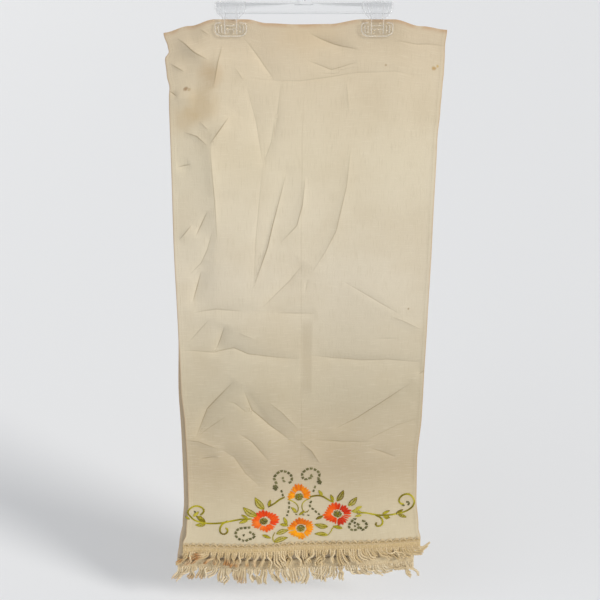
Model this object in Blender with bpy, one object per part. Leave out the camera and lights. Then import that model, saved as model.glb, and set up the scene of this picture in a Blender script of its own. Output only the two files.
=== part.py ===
# Embroidered table runner with two fringed ends, folded in half and held by a clear clip hanger.
# Lengths are in millimetres until a mesh is made, which is in metres with +Z up.
# The origin is the inside of the hook's crown, where a rail touches it. +X runs along the hanger's bar.
# The embroidered front layer faces -Y, the back layer +Y.

import math
from collections import namedtuple

import bmesh
import bpy
import numpy as np
from mathutils import Vector

MM = 0.001

# Runner
CLOTH_THICKNESS = 1.0
FRONT_DROP = 805.0
BACK_DROP = 840.0
FOLD_RADIUS = 0.7
LAYER_SPREAD = 3.3
SPREAD_OVER = 90.0
COLUMNS = 24
TOP_ROWS = (0.0, 6.0, 14.0, 25.0, 38.0, 55.0, 75.0, 97.0, 120.0)
FRONT_ROW_STEP = 18.0
BACK_ROW_STEP = 40.0
FOLD_STEPS = 4

# Fringe
HEADING_DEPTH = 15.0
HEADING_THICKNESS = 2.0
HEM_GAP = 0.5
LOCK_COUNT = 46
LOCK_LENGTH = 30.0
LOCK_SHARE = 0.7
LOCK_STEPS = 4
LOCK_TIP_WIDTH = 0.66
LOCK_SCATTER_DEG = 3.0
LOCK_LENGTH_SCATTER = 0.12

# Hanger
HOOK_INNER_RADIUS = 17.0
HOOK_TIP_DEG = 205.0
HOOK_TURN_DEG = -45.0
HOOK_ARC_STEPS = 30
HOOK_RETURN_STEPS = 9
WIRE_RADIUS = 1.75
BAR_TOP_DROP = 80.0
BAR_HEIGHT = 15.0
BAR_DEPTH = 7.0
BAR_HALF_LENGTH = 117.0
FLANGE_HEIGHT = 1.8
WEB_THICKNESS = 2.4
BAR_TO_CLOTH = 7.7
CLIP_CENTRE = 98.5
LEAF_THICKNESS = 2.0
JAW_HALF_WIDTH = 22.0
JAW_DEPTH = 22.2
JAW_EASE = 34.0
HUB_HALF_WIDTH = 9.0
HUB_HEIGHT = 13.0
HUB_HALF_DEPTH = 4.2
SOCKET_DEPTH = 11.0
SOCKET_SIDES = 12
MESH_GAP = 0.35

CLOTH_TOP = -(BAR_TOP_DROP + BAR_HEIGHT + BAR_TO_CLOTH)

# Left and right edge of each layer at a distance below the fold, as it hangs
Edge = namedtuple("Edge", "drop left right")
FRONT_EDGES = (
    Edge(0, -188, 193),
    Edge(45, -191, 191),
    Edge(90, -186, 187),
    Edge(160, -187, 185),
    Edge(300, -189, 184),
    Edge(440, -187, 182),
    Edge(560, -192, 181),
    Edge(660, -189, 177),
    Edge(730, -189, 178),
    Edge(805, -193, 187),
)
BACK_EDGES = (
    Edge(0, -188, 193),
    Edge(90, -189, 186),
    Edge(300, -194, 180),
    Edge(560, -197, 175),
    Edge(730, -199, 174),
    Edge(840, -204, 178),
)

# Height of the folded top edge across the hanger: it droops outside the clips and sags between them
TopPoint = namedtuple("TopPoint", "x height")
TOP_LINE = (
    TopPoint(-193, -18.5),
    TopPoint(-155, -9.0),
    TopPoint(-121, 0.0),
    TopPoint(-77, 0.0),
    TopPoint(-50, -5.0),
    TopPoint(-10, -6.5),
    TopPoint(35, -6.0),
    TopPoint(77, 0.0),
    TopPoint(121, 0.0),
    TopPoint(158, -9.0),
    TopPoint(195, -14.0),
)
DROOP_FADE = 220.0

# The left flap turns back past a ridge near the left clip, most of all above a drop of FLAP_FADE_FROM
FLAP_RIDGE = -118.0
FLAP_RIDGE_SHIFT = -10.0
FLAP_SLOPE = 0.2
FLAP_FADE_FROM = 230.0
FLAP_FADE_OVER = 240.0
FLAP_KEPT_BELOW = 0.3
RIGHT_TURN = 130.0
RIGHT_SLOPE = 0.1
RIGHT_FADE = 260.0
FLUTE_HEIGHT = 3.0
FLUTE_LENGTH = 30.0
FLUTE_FROM = 120.0
FLUTE_OVER = 400.0

# How far both layers stand back from the clips' plane at a distance below the fold
Profile = namedtuple("Profile", "drop back")
HANG_PROFILE = (
    Profile(0, 0.0),
    Profile(60, -3.0),
    Profile(200, -6.0),
    Profile(400, -9.0),
    Profile(520, -5.0),
    Profile(620, 3.0),
    Profile(690, 4.0),
    Profile(760, 0.0),
    Profile(840, -4.0),
)

# Main folds as seen from the front. height is positive for a ridge and negative for a trough.
# left and right are how far its slopes reach on either side, walking along the points.
Fold = namedtuple("Fold", "points height left right")
FRONT_FOLDS = (
    Fold(((-81, 22), (-58, 48), (-36, 80)), -3.2, 10, 20),
    Fold(((-80, 80), (-66, 135), (-57, 200)), -2.2, 10, 18),
    Fold(((-36, 110), (-45, 162), (-58, 200)), -1.8, 16, 9),
    Fold(((-22, 196), (-44, 280), (-78, 392)), -4.2, 9, 18),
    Fold(((0, 335), (-22, 366), (-64, 410)), -3.2, 12, 14),
    Fold(((-98, 120), (-132, 168), (-128, 240)), 5.1, 16, 22),
    Fold(((-128, 280), (-139, 325), (-170, 362)), -2.2, 12, 14),
    Fold(((-143, 335), (-150, 370), (-166, 410)), -4.4, 12, 16),
    Fold(((-170, 415), (-100, 410), (20, 415)), -3.1, 14, 14),
    Fold(((-184, 476), (-104, 472), (-10, 488)), -3.9, 16, 12),
    Fold(((-5, 484), (86, 491), (182, 494)), -3.6, 16, 12),
    Fold(((-117, 432), (-124, 458), (-134, 485)), -4.8, 9, 16),
    Fold(((-104, 520), (-148, 576), (-168, 630)), -5.4, 12, 18),
    Fold(((-92, 530), (-60, 592), (-14, 634)), -5.1, 12, 18),
    Fold(((-134, 638), (-100, 665), (-62, 712)), -4.6, 14, 16),
    Fold(((166, 522), (110, 568), (44, 610)), -4.2, 14, 20),
    Fold(((56, 364), (98, 388), (146, 418)), 1.6, 12, 20),
    Fold(((-178, 5), (-152, 33), (-127, 57)), 4.8, 10, 14),
    Fold(((4, 4), (30, 24), (78, 42)), -2.9, 14, 14),
    Fold(((-190, 84), (-168, 96), (-150, 98)), 4.4, 10, 12),
)
BACK_FOLDS = (
    Fold(((-150, 60), (-110, 150), (-96, 300)), 3.4, 24, 30),
    Fold(((20, 40), (60, 140), (66, 320)), 3.0, 28, 24),
    Fold(((150, 90), (120, 210), (128, 380)), 3.2, 22, 28),
    Fold(((-185, 440), (-40, 452), (170, 446)), -1.6, 16, 16),
    Fold(((-120, 500), (-60, 600), (-70, 740)), 3.4, 26, 32),
    Fold(((130, 520), (70, 620), (88, 760)), 3.2, 28, 26),
)
FOLD_SOFTNESS = 3.0

# How the locks hang along an end: lean from straight down and curl, both in degrees, by share of the width
Sweep = namedtuple("Sweep", "share lean curl")
FRONT_SWEEP = (
    Sweep(0.00, -42, -14),
    Sweep(0.20, -32, 6),
    Sweep(0.36, -4, 4),
    Sweep(0.60, 4, 4),
    Sweep(0.78, 14, 6),
    Sweep(0.93, 20, 24),
    Sweep(1.00, 52, 46),
)
BACK_SWEEP = (
    Sweep(0.00, -44, 8),
    Sweep(0.16, -30, 10),
    Sweep(0.30, 2, 4),
    Sweep(0.62, 6, 2),
    Sweep(0.80, 14, 10),
    Sweep(0.94, 26, 12),
    Sweep(1.00, 50, 24),
)

# One leaf of a clip from its finger tab down to the jaw's lip, by height above the cloth's top edge
LeafRow = namedtuple("LeafRow", "height half_width inner")
LEAF_ROWS = (
    LeafRow(23.5, 19.5, 8.6),
    LeafRow(22.0, 21.0, 8.2),
    LeafRow(14.5, 21.0, 6.2),
    LeafRow(9.5, 18.6, 5.0),
    LeafRow(4.5, 14.0, 4.3),
    LeafRow(0.5, 11.0, 4.0),
    LeafRow(-2.0, 11.0, 3.1),
    LeafRow(-3.8, 20.8, 2.6),
    LeafRow(-8.0, 22.0, 1.8),
    LeafRow(-15.0, 22.0, 1.55),
    LeafRow(-19.4, 19.6, 1.55),
    LeafRow(-22.2, 14.0, 1.55),
)
RIB_ACROSS = 8.0
RIB_HALF_WIDTH = 1.0
RIB_PROUD = 1.2
RIB_ROOT = 0.6
RIB_HEIGHTS = (17.0, 9.5, 4.5, 0.5, -3.8, -8.0, -19.0)
BRIDGE_HALF_WIDTH = 7.0
OVER_HEIGHT = 1.8
UNDER_HEIGHT = 5.0


def ease(value):
    """Rises smoothly from 0 to 1 as value does."""
    t = np.clip(value, 0.0, 1.0)
    return t * t * (3.0 - 2.0 * t)


def eased_row(place, rows, level):
    """A column of a table at a place between its rows, with a level tangent at each row."""
    place = np.asarray(place, float)
    places = np.array([row[0] for row in rows], float)
    levels = np.array([getattr(row, level) for row in rows], float)
    row = np.clip(np.searchsorted(places, place) - 1, 0, len(places) - 2)
    share = ease((place - places[row]) / (places[row + 1] - places[row]))
    return levels[row] + share * (levels[row + 1] - levels[row])


def clear_of_jaws(x, drop):
    """0 where the jaws grip the cloth, rising to 1 away from them."""
    level = np.ones_like(x)
    for centre in (-CLIP_CENTRE, CLIP_CENTRE):
        across = np.maximum(np.abs(x - centre) - JAW_HALF_WIDTH, 0.0)
        below = np.maximum(drop - JAW_DEPTH, 0.0)
        level = np.minimum(level, ease((np.hypot(across, below) - 2.0) / JAW_EASE))
    return level


def fold_level(x, drop, fold):
    """One fold's height at x and drop: full on its line, falling off to both sides and to its ends."""
    points = np.array(fold.points, float)
    lengths = np.hypot(*(points[1:] - points[:-1]).T)
    nearest = np.full(x.shape, 1e9)
    side = np.zeros(x.shape)
    along = np.zeros(x.shape)
    walked = 0.0
    for (x0, s0), (x1, s1), length in zip(points[:-1], points[1:], lengths):
        run, fall = (x1 - x0) / length, (s1 - s0) / length
        step = np.clip((x - x0) * run + (drop - s0) * fall, 0.0, length)
        away = np.hypot(x - x0 - step * run, drop - s0 - step * fall)
        closer = away < nearest
        nearest = np.where(closer, away, nearest)
        side = np.where(closer, (x - x0) * fall - (drop - s0) * run, side)
        along = np.where(closer, walked + step, along)
        walked += length
    reach = np.where(side > 0.0, fold.right, fold.left)
    rounded = np.sqrt(nearest**2 + FOLD_SOFTNESS**2) - FOLD_SOFTNESS
    taper = np.sin(math.pi * np.clip(along / walked, 0.0, 0.999)) ** 0.7
    return fold.height * taper * np.exp(-rounded / reach)


def hang(x, drop):
    """How far back both layers stand at x and drop, before each layer's own folds."""
    ridge = FLAP_RIDGE + FLAP_RIDGE_SHIFT * ease(drop / FLUTE_FROM)
    kept = 1.0 - (1.0 - FLAP_KEPT_BELOW) * ease((drop - FLAP_FADE_FROM) / FLAP_FADE_OVER)
    left_flap = FLAP_SLOPE * np.maximum(ridge - x, 0.0) * kept
    right_turn = RIGHT_SLOPE * np.maximum(x - RIGHT_TURN, 0.0) * (1.0 - ease(drop / RIGHT_FADE))
    flutes = FLUTE_HEIGHT * np.sin(x / FLUTE_LENGTH + 0.8) * ease((drop - FLUTE_FROM) / FLUTE_OVER)
    return clear_of_jaws(x, drop) * (eased_row(drop, HANG_PROFILE, "back") + left_flap + right_turn + flutes)


def half_gap(drop):
    """Half the distance between the two layers' middle surfaces."""
    return FOLD_RADIUS + LAYER_SPREAD * ease((drop - JAW_DEPTH - 4.0) / SPREAD_OVER)


def relief(x, drop, folds):
    """Height of a layer's own folds, flat where the jaws grip it and at the fold."""
    raised = sum(fold_level(x, drop, f) for f in folds)
    return raised * clear_of_jaws(x, drop) * ease(drop / 30.0)


def across_cloth(share, drop, edges):
    """x at a share of the way from a layer's left edge to its right one."""
    left, right = eased_row(drop, edges, "left"), eased_row(drop, edges, "right")
    return left + share * (right - left)


def hung_height(x, drop):
    """z at x and drop: the fold's droop and sag fade out below it."""
    return CLOTH_TOP - FOLD_RADIUS - drop + eased_row(x, TOP_LINE, "height") * (1.0 - ease(drop / DROOP_FADE))


def front_point(share, drop):
    """Middle surface of the front layer."""
    x = across_cloth(share, drop, FRONT_EDGES)
    y = hang(x, drop) - half_gap(drop) - relief(x, drop, FRONT_FOLDS)
    return np.stack([x, y, hung_height(x, drop)], axis=-1)


def back_point(share, drop):
    """Middle surface of the back layer, pushed back where a trough of the front one would reach it."""
    x = across_cloth(share, drop, BACK_EDGES)
    own = relief(x, drop, BACK_FOLDS)
    between = 2.0 * half_gap(drop) + own + relief(x, drop, FRONT_FOLDS)
    pushed = np.maximum(2.0 * FOLD_RADIUS - between, 0.0)
    y = hang(x, drop) + half_gap(drop) + own + pushed
    return np.stack([x, y, hung_height(x, drop)], axis=-1)


def rows_down(length, step):
    """Row distances from the fold to the hem: the shared rows near the fold, then even ones."""
    rest = length - TOP_ROWS[-1]
    count = round(rest / step)
    return [*TOP_ROWS, *(TOP_ROWS[-1] + rest * (i + 1) / count for i in range(count))]


def make_material(name, colour, roughness, alpha=1.0, metallic=0.0):
    material = bpy.data.materials.new(name)
    material.use_nodes = True
    shader = material.node_tree.nodes["Principled BSDF"]
    shader.inputs["Base Color"].default_value = (*colour, 1.0)
    shader.inputs["Roughness"].default_value = roughness
    shader.inputs["Metallic"].default_value = metallic
    shader.inputs["Alpha"].default_value = alpha
    return material


def make_object(name, vertices, faces, material):
    """A named object from points in millimetres."""
    mesh = bpy.data.meshes.new(name)
    mesh.from_pydata([Vector(v) * MM for v in vertices], [], faces)
    mesh.materials.append(material)
    made = bpy.data.objects.new(name, mesh)
    bpy.context.collection.objects.link(made)
    return made


def face_outwards(thing):
    sheet = bmesh.new()
    sheet.from_mesh(thing.data)
    bmesh.ops.recalc_face_normals(sheet, faces=sheet.faces)
    sheet.to_mesh(thing.data)
    sheet.free()


def shade_round(thing, angle=40.0):
    thing.data.shade_smooth()
    thing.data.set_sharp_from_angle(angle=math.radians(angle))


def build_runner(material):
    """The whole cloth as one sheet: up the front, over the fold and down the back."""
    share = np.linspace(0.0, 1.0, COLUMNS + 1)
    front_rows = reversed(rows_down(FRONT_DROP, FRONT_ROW_STEP))
    rows = [front_point(share, np.full_like(share, d)) for d in front_rows]
    top_front, top_back = rows[-1], back_point(share, np.zeros_like(share))
    for i in range(1, FOLD_STEPS):
        turn = math.pi * i / FOLD_STEPS
        arc = (top_front + top_back) / 2.0
        arc[:, 1] -= FOLD_RADIUS * math.cos(turn)
        arc[:, 2] += FOLD_RADIUS * math.sin(turn)
        rows.append(arc)
    rows += [back_point(share, np.full_like(share, d)) for d in rows_down(BACK_DROP, BACK_ROW_STEP)]
    wide = COLUMNS + 1
    faces = [
        (r * wide + c, r * wide + c + 1, (r + 1) * wide + c + 1, (r + 1) * wide + c)
        for r in range(len(rows) - 1)
        for c in range(COLUMNS)
    ]
    runner = make_object("runner_cloth", np.concatenate(rows), faces, material)
    solid = runner.modifiers.new("thickness", "SOLIDIFY")
    solid.thickness = CLOTH_THICKNESS * MM
    solid.offset = 0.0
    shade_round(runner, 60.0)
    return runner


def wobble(number, seed):
    """A repeatable value from -1 to 1 for a numbered lock."""
    return math.sin(12.9898 * number + 78.233 * seed + 3.1 * math.sin(4.7 * number * seed + 1.3))


def add_heading(vertices, faces, hem):
    """A narrow strip under the hem's points, open under every second cell, where a lock grows out."""
    half = HEADING_THICKNESS / 2.0
    for x, y, z in hem:
        top, bottom = z - HEM_GAP, z - HEM_GAP - HEADING_DEPTH
        vertices += [(x, y - half, top), (x, y + half, top), (x, y + half, bottom), (x, y - half, bottom)]
    cells = len(hem) - 1
    for cell in range(cells):
        a, b = 4 * cell, 4 * cell + 4
        faces += [(a, a + 1, b + 1, b), (a + 1, a + 2, b + 2, b + 1), (a, b, b + 3, a + 3)]
        if cell % 2:
            faces.append((a + 3, b + 3, b + 2, a + 2))
    faces += [(0, 3, 2, 1), tuple(4 * cells + k for k in range(4))]


def add_lock(vertices, faces, ring, length, lean, curl, out):
    """One lock of yarn, drawn out of the heading's open cell in steps that lean, curl and grow thinner."""
    corners = [Vector(vertices[i]) for i in ring]
    centre = sum(corners, Vector()) / 4.0
    half_width = abs(corners[2].x - corners[0].x) / 2.0
    half = HEADING_THICKNESS / 2.0
    for step in range(1, LOCK_STEPS + 1):
        along = step / LOCK_STEPS
        turn = math.radians(lean * min(1.6 * along, 1.0) + curl * along)
        centre = centre + Vector((math.sin(turn), 0.0, -math.cos(turn))) * (length / LOCK_STEPS)
        centre.y += out * (1.0 - 0.8 * along)
        narrow = (1.0 + (LOCK_TIP_WIDTH - 1.0) * along**2) * max(math.cos(turn), 0.45)
        side = Vector((math.cos(turn), 0.0, math.sin(turn))) * half_width * narrow
        thick = Vector((0.0, half * (1.15 - 0.45 * along), 0.0))
        new_ring = [len(vertices) + k for k in range(4)]
        vertices += [tuple(centre + c) for c in (-side - thick, thick - side, side + thick, side - thick)]
        faces += [(ring[k], ring[(k + 1) % 4], new_ring[(k + 1) % 4], new_ring[k]) for k in range(4)]
        ring = new_ring
    faces.append(tuple(ring))


def build_fringe(name, hem_point, drop, sweep, facing, seed, material):
    """A heading strip just under a hem, with locks of yarn that hang from it and are rooted in it."""
    gap_to_lock = (1.0 - LOCK_SHARE) / LOCK_SHARE
    lock_width = 1.0 / (LOCK_COUNT + (LOCK_COUNT - 1) * gap_to_lock)
    stations = [0.0]
    for cell in range(2 * LOCK_COUNT - 1):
        stations.append(stations[-1] + lock_width * (gap_to_lock if cell % 2 else 1.0))
    vertices, faces = [], []
    add_heading(vertices, faces, hem_point(np.array(stations), np.full(len(stations), drop)))
    for number in range(LOCK_COUNT):
        share = (number + 0.5) / LOCK_COUNT
        lean = float(eased_row(share, sweep, "lean")) + LOCK_SCATTER_DEG * wobble(number, seed)
        curl = float(eased_row(share, sweep, "curl"))
        length = LOCK_LENGTH * (1.0 + LOCK_LENGTH_SCATTER * wobble(number, seed + 1.7))
        out = facing * (0.8 + 0.7 * wobble(number, seed + 2.9))
        a = 8 * number
        add_lock(vertices, faces, [a + 3, a + 2, a + 6, a + 7], length, lean, curl, out)
    fringe = make_object(name, vertices, faces, material)
    face_outwards(fringe)
    shade_round(fringe, 35.0)
    return fringe


def loft(name, sections, material):
    """A solid through closed sections that have the same number of points, capped at both ends."""
    around = len(sections[0])
    vertices = [p for section in sections for p in section]
    faces = [
        (r + k, r + (k + 1) % around, r + around + (k + 1) % around, r + around + k)
        for r in range(0, len(vertices) - around, around)
        for k in range(around)
    ]
    faces += [tuple(range(around)), tuple(range(len(vertices) - around, len(vertices)))]
    made = make_object(name, vertices, faces, material)
    face_outwards(made)
    return made


def block(name, low, high, material):
    """A rectangular solid between two corners."""
    sections = [
        [(low[0], low[1], z), (high[0], low[1], z), (high[0], high[1], z), (low[0], high[1], z)]
        for z in (low[2], high[2])
    ]
    return loft(name, sections, material)


def combine(base, tools, operation):
    """Keeps the tools as live guides of Boolean modifiers on base."""
    for tool in tools:
        modifier = base.modifiers.new(tool.name, "BOOLEAN")
        modifier.operation = operation
        modifier.object = tool
        tool.hide_render = True
        tool.display_type = "WIRE"


def leaf_inner(height):
    """Distance of a leaf's inner face from the clips' plane at a height above the cloth."""
    rows = LEAF_ROWS[::-1]
    return float(np.interp(height, [row.height for row in rows], [row.inner for row in rows]))


def rectangle(left, right, near, far, z):
    return [(left, near, z), (right, near, z), (right, far, z), (left, far, z)]


def build_leaf(name, centre, facing, material):
    """One of a clip's two leaves, facing -1 for the front one."""
    sections = []
    for row in LEAF_ROWS:
        near, far = facing * row.inner, facing * (row.inner + LEAF_THICKNESS)
        left, right = centre - row.half_width, centre + row.half_width
        sections.append(rectangle(left, right, near, far, CLOTH_TOP + row.height))
    return loft(name, sections, material)


def build_rib(name, centre, facing, material):
    """A rib that stiffens a leaf from its finger tab to its jaw."""
    sections = []
    for height in RIB_HEIGHTS:
        face = leaf_inner(height) + LEAF_THICKNESS
        left, right = centre - RIB_HALF_WIDTH, centre + RIB_HALF_WIDTH
        near, far = facing * (face - RIB_ROOT), facing * (face + RIB_PROUD)
        sections.append(rectangle(left, right, near, far, CLOTH_TOP + height))
    return loft(name, sections, material)


def build_bridge(name, centre, low, high, material):
    """A block that joins the two leaves of a clip between two heights."""
    reach = leaf_inner((low + high) / 2.0 - CLOTH_TOP) + LEAF_THICKNESS / 2.0
    left, right = centre - BRIDGE_HALF_WIDTH, centre + BRIDGE_HALF_WIDTH
    return loft(name, [rectangle(left, right, -reach, reach, z) for z in (low, high)], material)


def build_clip(name, centre, material):
    """One moulded clip: a front and a back leaf, joined by a bridge over the bar and one under it."""
    bar_top = -BAR_TOP_DROP
    bar_bottom = bar_top - BAR_HEIGHT
    clip = build_leaf(name, centre, -1.0, material)
    tools = [
        build_leaf(f"{name}_back_leaf", centre, 1.0, material),
        build_bridge(f"{name}_over", centre, bar_top + MESH_GAP, bar_top + MESH_GAP + OVER_HEIGHT, material),
        build_bridge(f"{name}_under", centre, bar_bottom - UNDER_HEIGHT, bar_bottom - MESH_GAP, material),
    ]
    for facing in (-1.0, 1.0):
        for across in (-RIB_ACROSS, RIB_ACROSS):
            tools.append(build_rib(f"{name}_rib", centre + across, facing, material))
    combine(clip, tools, "UNION")
    return clip


def build_bar(material):
    """The hanger's bar: an I section with a hub in the middle that holds the hook's stem."""
    half, web = BAR_DEPTH / 2.0, WEB_THICKNESS / 2.0
    top, bottom = -BAR_TOP_DROP, -BAR_TOP_DROP - BAR_HEIGHT
    under_top, over_bottom = top - FLANGE_HEIGHT, bottom + FLANGE_HEIGHT
    right_side = [(half, top), (half, under_top), (web, under_top), (web, over_bottom), (half, over_bottom)]
    right_side.append((half, bottom))
    outline = right_side + [(-y, z) for y, z in reversed(right_side)]
    ends = (-BAR_HALF_LENGTH, BAR_HALF_LENGTH)
    bar = loft("hanger_bar", [[(x, y, z) for y, z in outline] for x in ends], material)
    mouth = top + HUB_HEIGHT
    hub_rows = ((top - 4.0, HUB_HALF_WIDTH + 4.0), (top + 3.0, HUB_HALF_WIDTH), (mouth, HUB_HALF_WIDTH - 3.0))
    hub_sections = [rectangle(-w, w, -HUB_HALF_DEPTH, HUB_HALF_DEPTH, z) for z, w in hub_rows]
    combine(bar, [loft("hanger_hub", hub_sections, material)], "UNION")
    radius = WIRE_RADIUS + MESH_GAP
    turns = [2.0 * math.pi * k / SOCKET_SIDES for k in range(SOCKET_SIDES)]
    around = [(radius * math.cos(a), radius * math.sin(a)) for a in turns]
    socket_sections = [[(x, y, z) for x, y in around] for z in (mouth - SOCKET_DEPTH, mouth + 2.0)]
    combine(bar, [loft("hanger_socket", socket_sections, material)], "DIFFERENCE")
    return bar


def build_hook(material):
    """The wire hook: a round crown, a returning curve and a straight stem down into the hub."""
    radius = HOOK_INNER_RADIUS + WIRE_RADIUS
    centre = -HOOK_INNER_RADIUS
    points = []
    for i in range(HOOK_ARC_STEPS + 1):
        angle = math.radians(HOOK_TIP_DEG + (HOOK_TURN_DEG - HOOK_TIP_DEG) * i / HOOK_ARC_STEPS)
        points.append((radius * math.cos(angle), centre + radius * math.sin(angle)))
    last_x, last_z = points[-1]
    heading = math.radians(-HOOK_TURN_DEG)
    return_radius = last_x / (1.0 - math.cos(heading))
    for i in range(1, HOOK_RETURN_STEPS + 1):
        left = heading * (1.0 - i / HOOK_RETURN_STEPS)
        x = return_radius * (1.0 - math.cos(left))
        z = last_z - return_radius * (math.sin(heading) - math.sin(left))
        points.append((x, z))
    stem_end = -BAR_TOP_DROP + HUB_HEIGHT - SOCKET_DEPTH + MESH_GAP
    points.append((0.0, (points[-1][1] + stem_end) / 2.0))
    points.append((0.0, stem_end))
    curve = bpy.data.curves.new("hanger_hook", "CURVE")
    curve.dimensions = "3D"
    curve.bevel_depth = WIRE_RADIUS * MM
    curve.bevel_resolution = 2
    curve.use_fill_caps = True
    spline = curve.splines.new("POLY")
    spline.points.add(len(points) - 1)
    for point, (x, z) in zip(spline.points, points):
        point.co = (x * MM, 0.0, z * MM, 1.0)
    curve.materials.append(material)
    hook = bpy.data.objects.new("hanger_hook", curve)
    bpy.context.collection.objects.link(hook)
    return hook


def main():
    for thing in list(bpy.data.objects):
        bpy.data.objects.remove(thing)
    linen = make_material("cream_linen", (0.66, 0.58, 0.43), 0.85)
    yarn = make_material("fringe_cotton", (0.60, 0.48, 0.30), 0.9)
    clear = make_material("clear_plastic", (0.86, 0.88, 0.89), 0.08, alpha=0.35)
    steel = make_material("plated_steel", (0.62, 0.62, 0.64), 0.25, metallic=1.0)
    build_runner(linen)
    build_fringe("fringe_front", front_point, FRONT_DROP, FRONT_SWEEP, -1.0, 1.0, yarn)
    build_fringe("fringe_back", back_point, BACK_DROP, BACK_SWEEP, 1.0, 2.0, yarn)
    build_clip("clip_left", -CLIP_CENTRE, clear)
    build_clip("clip_right", CLIP_CENTRE, clear)
    build_bar(clear)
    build_hook(steel)


main()
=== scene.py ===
import math

import bmesh
import bpy
import numpy as np
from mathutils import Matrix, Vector


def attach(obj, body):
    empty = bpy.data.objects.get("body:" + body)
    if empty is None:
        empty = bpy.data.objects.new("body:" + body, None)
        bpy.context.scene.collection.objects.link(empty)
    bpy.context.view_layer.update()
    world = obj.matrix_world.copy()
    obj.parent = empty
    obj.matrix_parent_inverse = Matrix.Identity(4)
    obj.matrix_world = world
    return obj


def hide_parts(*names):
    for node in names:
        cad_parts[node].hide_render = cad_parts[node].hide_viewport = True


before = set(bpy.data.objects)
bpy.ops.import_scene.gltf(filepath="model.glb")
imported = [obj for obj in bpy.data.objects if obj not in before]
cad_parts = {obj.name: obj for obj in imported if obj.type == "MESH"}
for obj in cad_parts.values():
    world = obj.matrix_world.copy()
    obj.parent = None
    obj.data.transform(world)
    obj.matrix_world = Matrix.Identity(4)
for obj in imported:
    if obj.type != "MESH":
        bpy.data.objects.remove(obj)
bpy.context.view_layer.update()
mm = 0.001  # every size below is in millimetres and is turned into metres when a mesh is made
rng = np.random.default_rng(41)

# camera at the photo's height and angle, in front of the embroidered side
cameraSetup = {"place": (-5.4, -1395.5, -31.9), "lookDown": 18.57, "lens": 60.0, "sensor": 36.0}

lights = {
    # name: from the right (degrees), from above (degrees), how wide it looks (degrees), strength, colour
    "keyLight": (56, 26, 16, 2.06, (1.0, 0.975, 0.94)),
    "fillLight": (-50, 20, 60, 0.72, (1.0, 0.99, 0.98)),
    "backLight": (214, 20, 40, 1.3, (1.0, 0.99, 0.97)),
}
room = {
    "floor": -1045.0,
    "floorSize": 120000.0,
    "floorColor": (0.80, 0.81, 0.825),
    "worldColor": (0.87, 0.885, 0.91),
    "worldStrength": 0.5,
}


class Wire:
    # one shader socket; arithmetic on it adds Math nodes, or Vector Math nodes for a vector

    def __init__(self, finish, socket):
        self.finish = finish
        self.socket = socket

    def work(self, operation, *terms):
        wide = [t for t in terms if isinstance(t, tuple) or isinstance(t, Wire) and t.socket.type == "VECTOR"]
        kind = "ShaderNodeVectorMath" if wide else "ShaderNodeMath"
        return self.finish.node(kind, {"operation": operation}, dict(enumerate(terms)))

    def __add__(self, other):
        return self.work("ADD", self, other)

    def __sub__(self, other):
        return self.work("SUBTRACT", self, other)

    def __rsub__(self, other):
        return self.work("SUBTRACT", other, self)

    def __mul__(self, other):
        return self.work("MULTIPLY", self, other)

    def __truediv__(self, other):
        return self.work("DIVIDE", self, other)

    __radd__ = __add__
    __rmul__ = __mul__

    def up(self, low, high):
        # 0 below low, 1 above high, smooth between
        settings = {"interpolation_type": "SMOOTHSTEP"}
        return self.finish.node("ShaderNodeMapRange", settings, {0: self, 1: low, 2: high})

    def between(self, low, high, soft):
        return self.up(low - soft, low + soft) * (1.0 - self.up(high - soft, high + soft))

    def wave(self):
        return self.work("SINE", self)

    def size(self):
        return self.work("ABSOLUTE", self)

    def part(self, letter):
        return self.finish.node("ShaderNodeSeparateXYZ", {}, {0: self}, letter)


class Finish:
    # a material with one Principled shader, whose nodes are made by node()

    def __init__(self, name, **sockets):
        self.material = bpy.data.materials.new(name)
        self.material.use_nodes = True
        self.tree = self.material.node_tree
        self.shader = self.tree.nodes["Principled BSDF"]
        for socket, value in sockets.items():
            self.shader.inputs[socket.replace("_", " ")].default_value = value

    def node(self, kind, settings, sockets, output=0):
        made = self.tree.nodes.new(kind)
        for name, value in settings.items():
            if name == "stops":
                ramp = made.color_ramp
                while len(ramp.elements) < len(value):
                    ramp.elements.new(0.5)
                for stop, (place, color) in zip(ramp.elements, value):
                    stop.position = place
                    stop.color = (*color, 1.0)
            else:
                setattr(made, name, value)
        for name, value in sockets.items():
            socket = made.inputs[name]
            if isinstance(value, Wire):
                self.tree.links.new(value.socket, socket)
            elif socket.type == "RGBA":
                socket.default_value = (*value, 1.0)
            elif socket.type == "VECTOR" and not isinstance(value, tuple):
                socket.default_value = (value, value, value)
            else:
                socket.default_value = value
        return Wire(self, made.outputs[output])

    def mix(self, first, second, factor):
        return self.node("ShaderNodeMix", {"data_type": "RGBA"}, {0: factor, 6: first, 7: second}, 2)

    def tint(self, color, tone, factor):
        return self.mix(color, fromScreen(*tone), factor)

    def noise(self, place, scale, detail=2.0, roughness=0.5):
        values = {"Vector": place, "Scale": scale, "Detail": detail, "Roughness": roughness}
        return self.node("ShaderNodeTexNoise", {}, values)

    def attribute(self, name, output="Fac"):
        return self.node("ShaderNodeAttribute", {"attribute_name": name}, {}, output)

    def objectPlace(self):
        return self.node("ShaderNodeTexCoord", {}, {}, "Object")

    def bump(self, height, distance, strength=1.0):
        return self.node("ShaderNodeBump", {}, {"Strength": strength, "Distance": distance, "Height": height})

    def feed(self, **sockets):
        for socket, wire in sockets.items():
            self.tree.links.new(wire.socket, self.shader.inputs[socket.replace("_", " ")])
        return self.material


def ease(t):
    t = np.clip(t, 0.0, 1.0)
    return t * t * (3.0 - 2.0 * t)


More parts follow.
